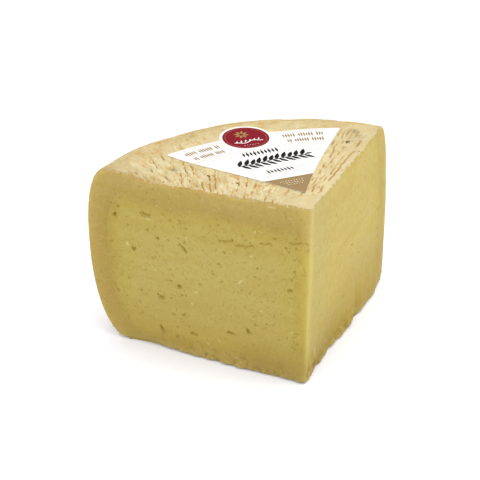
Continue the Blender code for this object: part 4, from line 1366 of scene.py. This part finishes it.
def paste_colour(made, pit):
    """Pale yellow paste with a browner rim zone, a brighter line inside it, eyes and flecks."""
    wander = made.noise(20 * MM, 3, seed=3)
    depth = made.math("ADD", made.attribute("depth"), made.ranged(wander, 0.3, 0.7, -1.6, 1.6))
    bands = made.noise(9 * MM, 3, stretch=(7, 7, 1), seed=7)
    curd = made.noise(3.2 * MM, 4, 0.65, seed=1, warp=0.8)
    fleck = made.ranged(made.noise(1.6 * MM, 1, 0.4, seed=9, warp=0.5), 0.67, 0.77)
    on_right = made.by("fan_along", 2.0, 50.0)
    near_edge = made.by("out", 60.0, 25.0)
    edge_tan = made.at_height(0.7 * HEIGHT, 0.85 * HEIGHT)
    edge_gold = made.mix(edge_tan, srgb(213, 193, 82), srgb(213, 184, 100))
    return made.painted(
        made.ramp(made.math("DIVIDE", depth, PASTE_RAMP), PASTE_BY_DEPTH),
        (made.at_height(0.76 * HEIGHT, 0.95 * HEIGHT, 0.0, 0.3), (204, 181, 110)),
        (made.ranged(bands, 0.4, 0.66, 0.0, 0.35), (186, 162, 76)),
        (made.ranged(curd, 0.52, 0.7, 0.0, 0.4), (180, 156, 76)),
        (made.ranged(curd, 0.46, 0.3, 0.0, 0.4), (204, 187, 116)),
        (made.by("out", 9.0, 1.0, 0.0, 0.6), edge_gold),
        (made.times(pit, 0.6), (174, 149, 54)),
        (made.times(fleck, 0.32), (220, 205, 138)),
        # Painted shade in the eyes and the crumbled foot's hollows, partly the paste's own darker gold
        (made.by("hollow", 0.08, 0.5, 0.0, 0.6), (178, 149, 40)),
        (made.by("hollow", 0.5, 0.85, 0.0, 0.8), (142, 108, 14)),
        # Pale flakes and crumbs, and a painted highlight along the centre edge
        (made.times(made.attribute("pale"), 0.85), (226, 213, 150)),
        # Painted shade: the paste darker towards the bottom
        (made.at_height(6 * MM, 58 * MM, 0.3, 0.0), (180, 156, 78)),
        # Painted light: the right cut yellower than the left for the way light falls on it, and painted
        # shade darker towards its foot
        (made.times(on_right, 0.3), (208, 180, 60)),
        (made.times(on_right, made.at_height(0.0, 60 * MM, 0.5, 0.0)), (165, 141, 68)),
        # Darker low down near the centre edge
        (made.times(near_edge, made.at_height(8 * MM, 34 * MM, 0.3, 0.0)), (150, 126, 66)),
        # Painted shade: greyer and darker in the lowest 9 mm
        (made.at_height(0.0, 9 * MM, 0.5, 0.0), (184, 164, 100)),
    )


def fan_marks(made):
    """Short wavy streaks along the fan of rush marks, and where they show: on the top only."""
    sway = made.ranged(made.noise(8 * MM, 2, seed=25), 0.2, 0.8, -1.8, 1.8)
    across = made.math("ADD", made.attribute("fan_across"), sway)
    place = made.joined(across, made.attribute("fan_along"), 0.0)
    stretch = (FAN_PITCH / MM, FAN_DASH / MM, 1)
    streaks = made.noise(1, 3, 0.6, stretch=stretch, seed=27, warp=0.9, place=place)
    past_tip = made.by("fan_across", 14.0, 34.0)
    return streaks, made.times(past_tip, made.at_height(0.9 * HEIGHT, 0.97 * HEIGHT))


def rind_colour(made, grain, streaks, on_top):
    """A cream rind with orange-tan marks, mottling, grey mould and dark specks, with painted shade in its
    marks and a painted highlight between its streaks.
    """
    broad = made.ranged(made.noise(12 * MM, 3, 0.6, seed=11), 0.35, 0.65)
    blotch = made.ranged(made.noise(4.2 * MM, 5, 0.7, seed=13, warp=1.2), 0.52, 0.66)
    fainter = made.by("fan_across", 80.0, 115.0, 1.0, 0.7)
    streak = made.times(made.times(made.ranged(streaks, 0.56, 0.63), on_top), fainter)
    mark = made.times(made.attribute("mark"), fainter)
    mark_core = made.times(made.ranged(mark, 0.5, 0.95, 0.0, 0.7), made.ranged(grain, 0.38, 0.58))
    mould = made.times(made.attribute("mould"), made.ranged(grain, 0.35, 0.65, 0.3, 1.0))
    return made.painted(
        made.mix(broad, srgb(219, 199, 148), srgb(232, 215, 168)),
        (made.times(blotch, 0.26), (214, 172, 100)),
        (made.ranged(grain, 0.55, 0.7, 0.0, 0.26), (200, 164, 98)),
        (made.ranged(grain, 0.44, 0.3, 0.0, 0.4), (240, 228, 192)),
        # Painted highlight: paler cream on the ridges between the streaks
        (made.times(made.ranged(streaks, 0.45, 0.33, 0.0, 0.7), on_top), (243, 230, 186)),
        # Orange-tan in the streaks' dents, partly the rind's own colour, partly painted shade
        (made.times(streak, 0.75), (214, 168, 92)),
        (made.times(streak, made.ranged(grain, 0.56, 0.7, 0.0, 0.6)), (176, 126, 56)),
        # Orange-tan in the grooves, partly the rind's own colour, partly painted shade
        (made.ranged(mark, 0.12, 0.5, 0.0, 0.65), (218, 174, 92)),
        (mark_core, (190, 136, 52)),
        (made.at_height(0.9 * HEIGHT, HEIGHT, 0.5, 0.0), (210, 182, 126)),
        (made.by("out", 108.0, 138.0, 0.0, 0.5), (204, 176, 118)),
        (mould, (150, 142, 104)),
        (made.by("speck", 0.25, 0.6), (96, 74, 42)),
    )


def cheese_material():
    """The paste and the rind in one material, with a ragged border between them."""
    made = Material("cheese", 0.5, subsurface_weight=0.2, subsurface_scale=0.9 * MM)
    made.give(subsurface_radius=(1.0, 0.7, 0.3), specular_ior_level=0.1)
    pit = made.ranged(made.noise(2.0 * MM, 2, 0.5, seed=5, warp=1.0), 0.6, 0.74)
    grain = made.noise(1.5 * MM, 3, 0.7, seed=15, warp=0.6)
    streaks, on_top = fan_marks(made)
    ragged = made.ranged(made.noise(3.6 * MM, 2, 0.5, seed=17), 0.38, 0.62, -0.2, 1.5)
    border = made.math("ADD", made.attribute("rind_way"), ragged)
    on_rind = made.ranged(border, -0.12, 0.12)
    far_along = made.times(made.by("fan_across", 35.0, 75.0), made.at_height(0.88 * HEIGHT, 0.95 * HEIGHT))
    tan_line = made.times(made.ranged(border, -1.5, -0.1, 0.0, 0.85), far_along)
    paste = made.painted(paste_colour(made, pit), (tan_line, (214, 168, 84)))
    made.give(base_color=made.mix(on_rind, paste, rind_colour(made, grain, streaks, on_top)))

    sheen = made.ranged(made.noise(4 * MM, 3, seed=19), 0.3, 0.7, 0.42, 0.56)
    dry = made.ranged(grain, 0.3, 0.7, 0.66, 0.82)
    drier = made.times(on_rind, made.math("SUBTRACT", dry, sheen))
    made.give(roughness=made.math("ADD", sheen, drier))

    waxy = made.bump(made.noise(2.0 * MM, 5, 0.65, seed=21), 0.25 * MM)
    pitted = made.bump(made.times(pit, -1.0), 0.22 * MM, waxy)
    crust = made.times(made.noise(0.9 * MM, 4, 0.7, seed=23), on_rind)
    crusted = made.bump(crust, 0.45 * MM, pitted)
    ridges = made.times(made.times(streaks, on_top), on_rind)
    made.give(normal=made.bump(made.times(ridges, -1.0), 1.2 * MM, crusted))
    return made.made


INKS = {
    "paper": (255, 254, 250),
    "brown": (166, 138, 94),
    "cream": (246, 236, 214),
    "black": (14, 12, 11),
    "grey": (224, 219, 211),
    "red": (140, 16, 38),
    "gold": (172, 143, 84),
    "white": (255, 254, 250),
}


def paper_material(name):
    """Smooth coated paper with a faint tooth, in one ink's colour."""
    made = Material("paper_" + name, 0.6, specular_ior_level=0.05)
    red, green, blue = INKS[name]
    fibre = made.noise(0.5 * MM, 3, 0.6, seed=2)
    darker = srgb(0.93 * red, 0.93 * green, 0.93 * blue)
    made.give(base_color=made.mix(made.ranged(fibre, 0.3, 0.8), srgb(red, green, blue), darker))
    made.give(roughness=made.ranged(fibre, 0.3, 0.7, 0.56, 0.66))
    cockle = made.bump(made.noise(7 * MM, 2, seed=4), 0.25 * MM)
    made.give(normal=made.bump(fibre, 0.02 * MM, cockle))
    return made.made


def floor():
    """A plain pale floor, not part of the object."""
    corners = [(x * FLOOR_HALF, y * FLOOR_HALF, 0) for x, y in ((-1, -1), (1, -1), (1, 1), (-1, 1))]
    mesh = bpy.data.meshes.new("floor")
    mesh.from_pydata(corners, [], [(0, 1, 2, 3)])
    mesh.materials.append(Material("floor", 0.85, base_color=FLOOR_PAINT).made)
    made = in_scene("floor", mesh)


def light(name, at, width, height, power, colour):
    """A soft area light that looks at the middle of the piece."""
    data = bpy.data.lights.new(name, "AREA")
    data.shape, data.size, data.size_y = "RECTANGLE", width, height
    data.energy, data.color = power, colour
    made = in_scene(name, data)
    made.location = at
    made.rotation_euler = (LIT_PLACE - Vector(at)).to_track_quat("-Z", "Y").to_euler()


def studio():
    floor()
    world = bpy.data.worlds.new("studio")
    world.use_nodes = True
    background = world.node_tree.nodes["Background"]
    background.inputs["Color"].default_value = (1, 1, 1, 1)
    background.inputs["Strength"].default_value = WORLD_LIGHT
    scene = bpy.context.scene
    scene.world = world
    for row in LIGHTS:
        light(*row)
    scene.view_settings.view_transform = "Standard"
    scene.view_settings.look = "None"


def camera():
    data = bpy.data.cameras.new("camera")
    data.lens, data.sensor_width = LENS, SENSOR
    data.clip_start, data.clip_end = 0.01, 50
    made = in_scene("camera", data)
    made.location = CAMERA_AT
    facing = Vector(LOOK_AT - CAMERA_AT).to_track_quat("-Z", "Y")
    made.rotation_mode = "QUATERNION"
    made.rotation_quaternion = facing @ Quaternion((0, 0, 1), CAMERA_ROLL)
    bpy.context.scene.camera = made


camera()
studio()
cheese()
label()
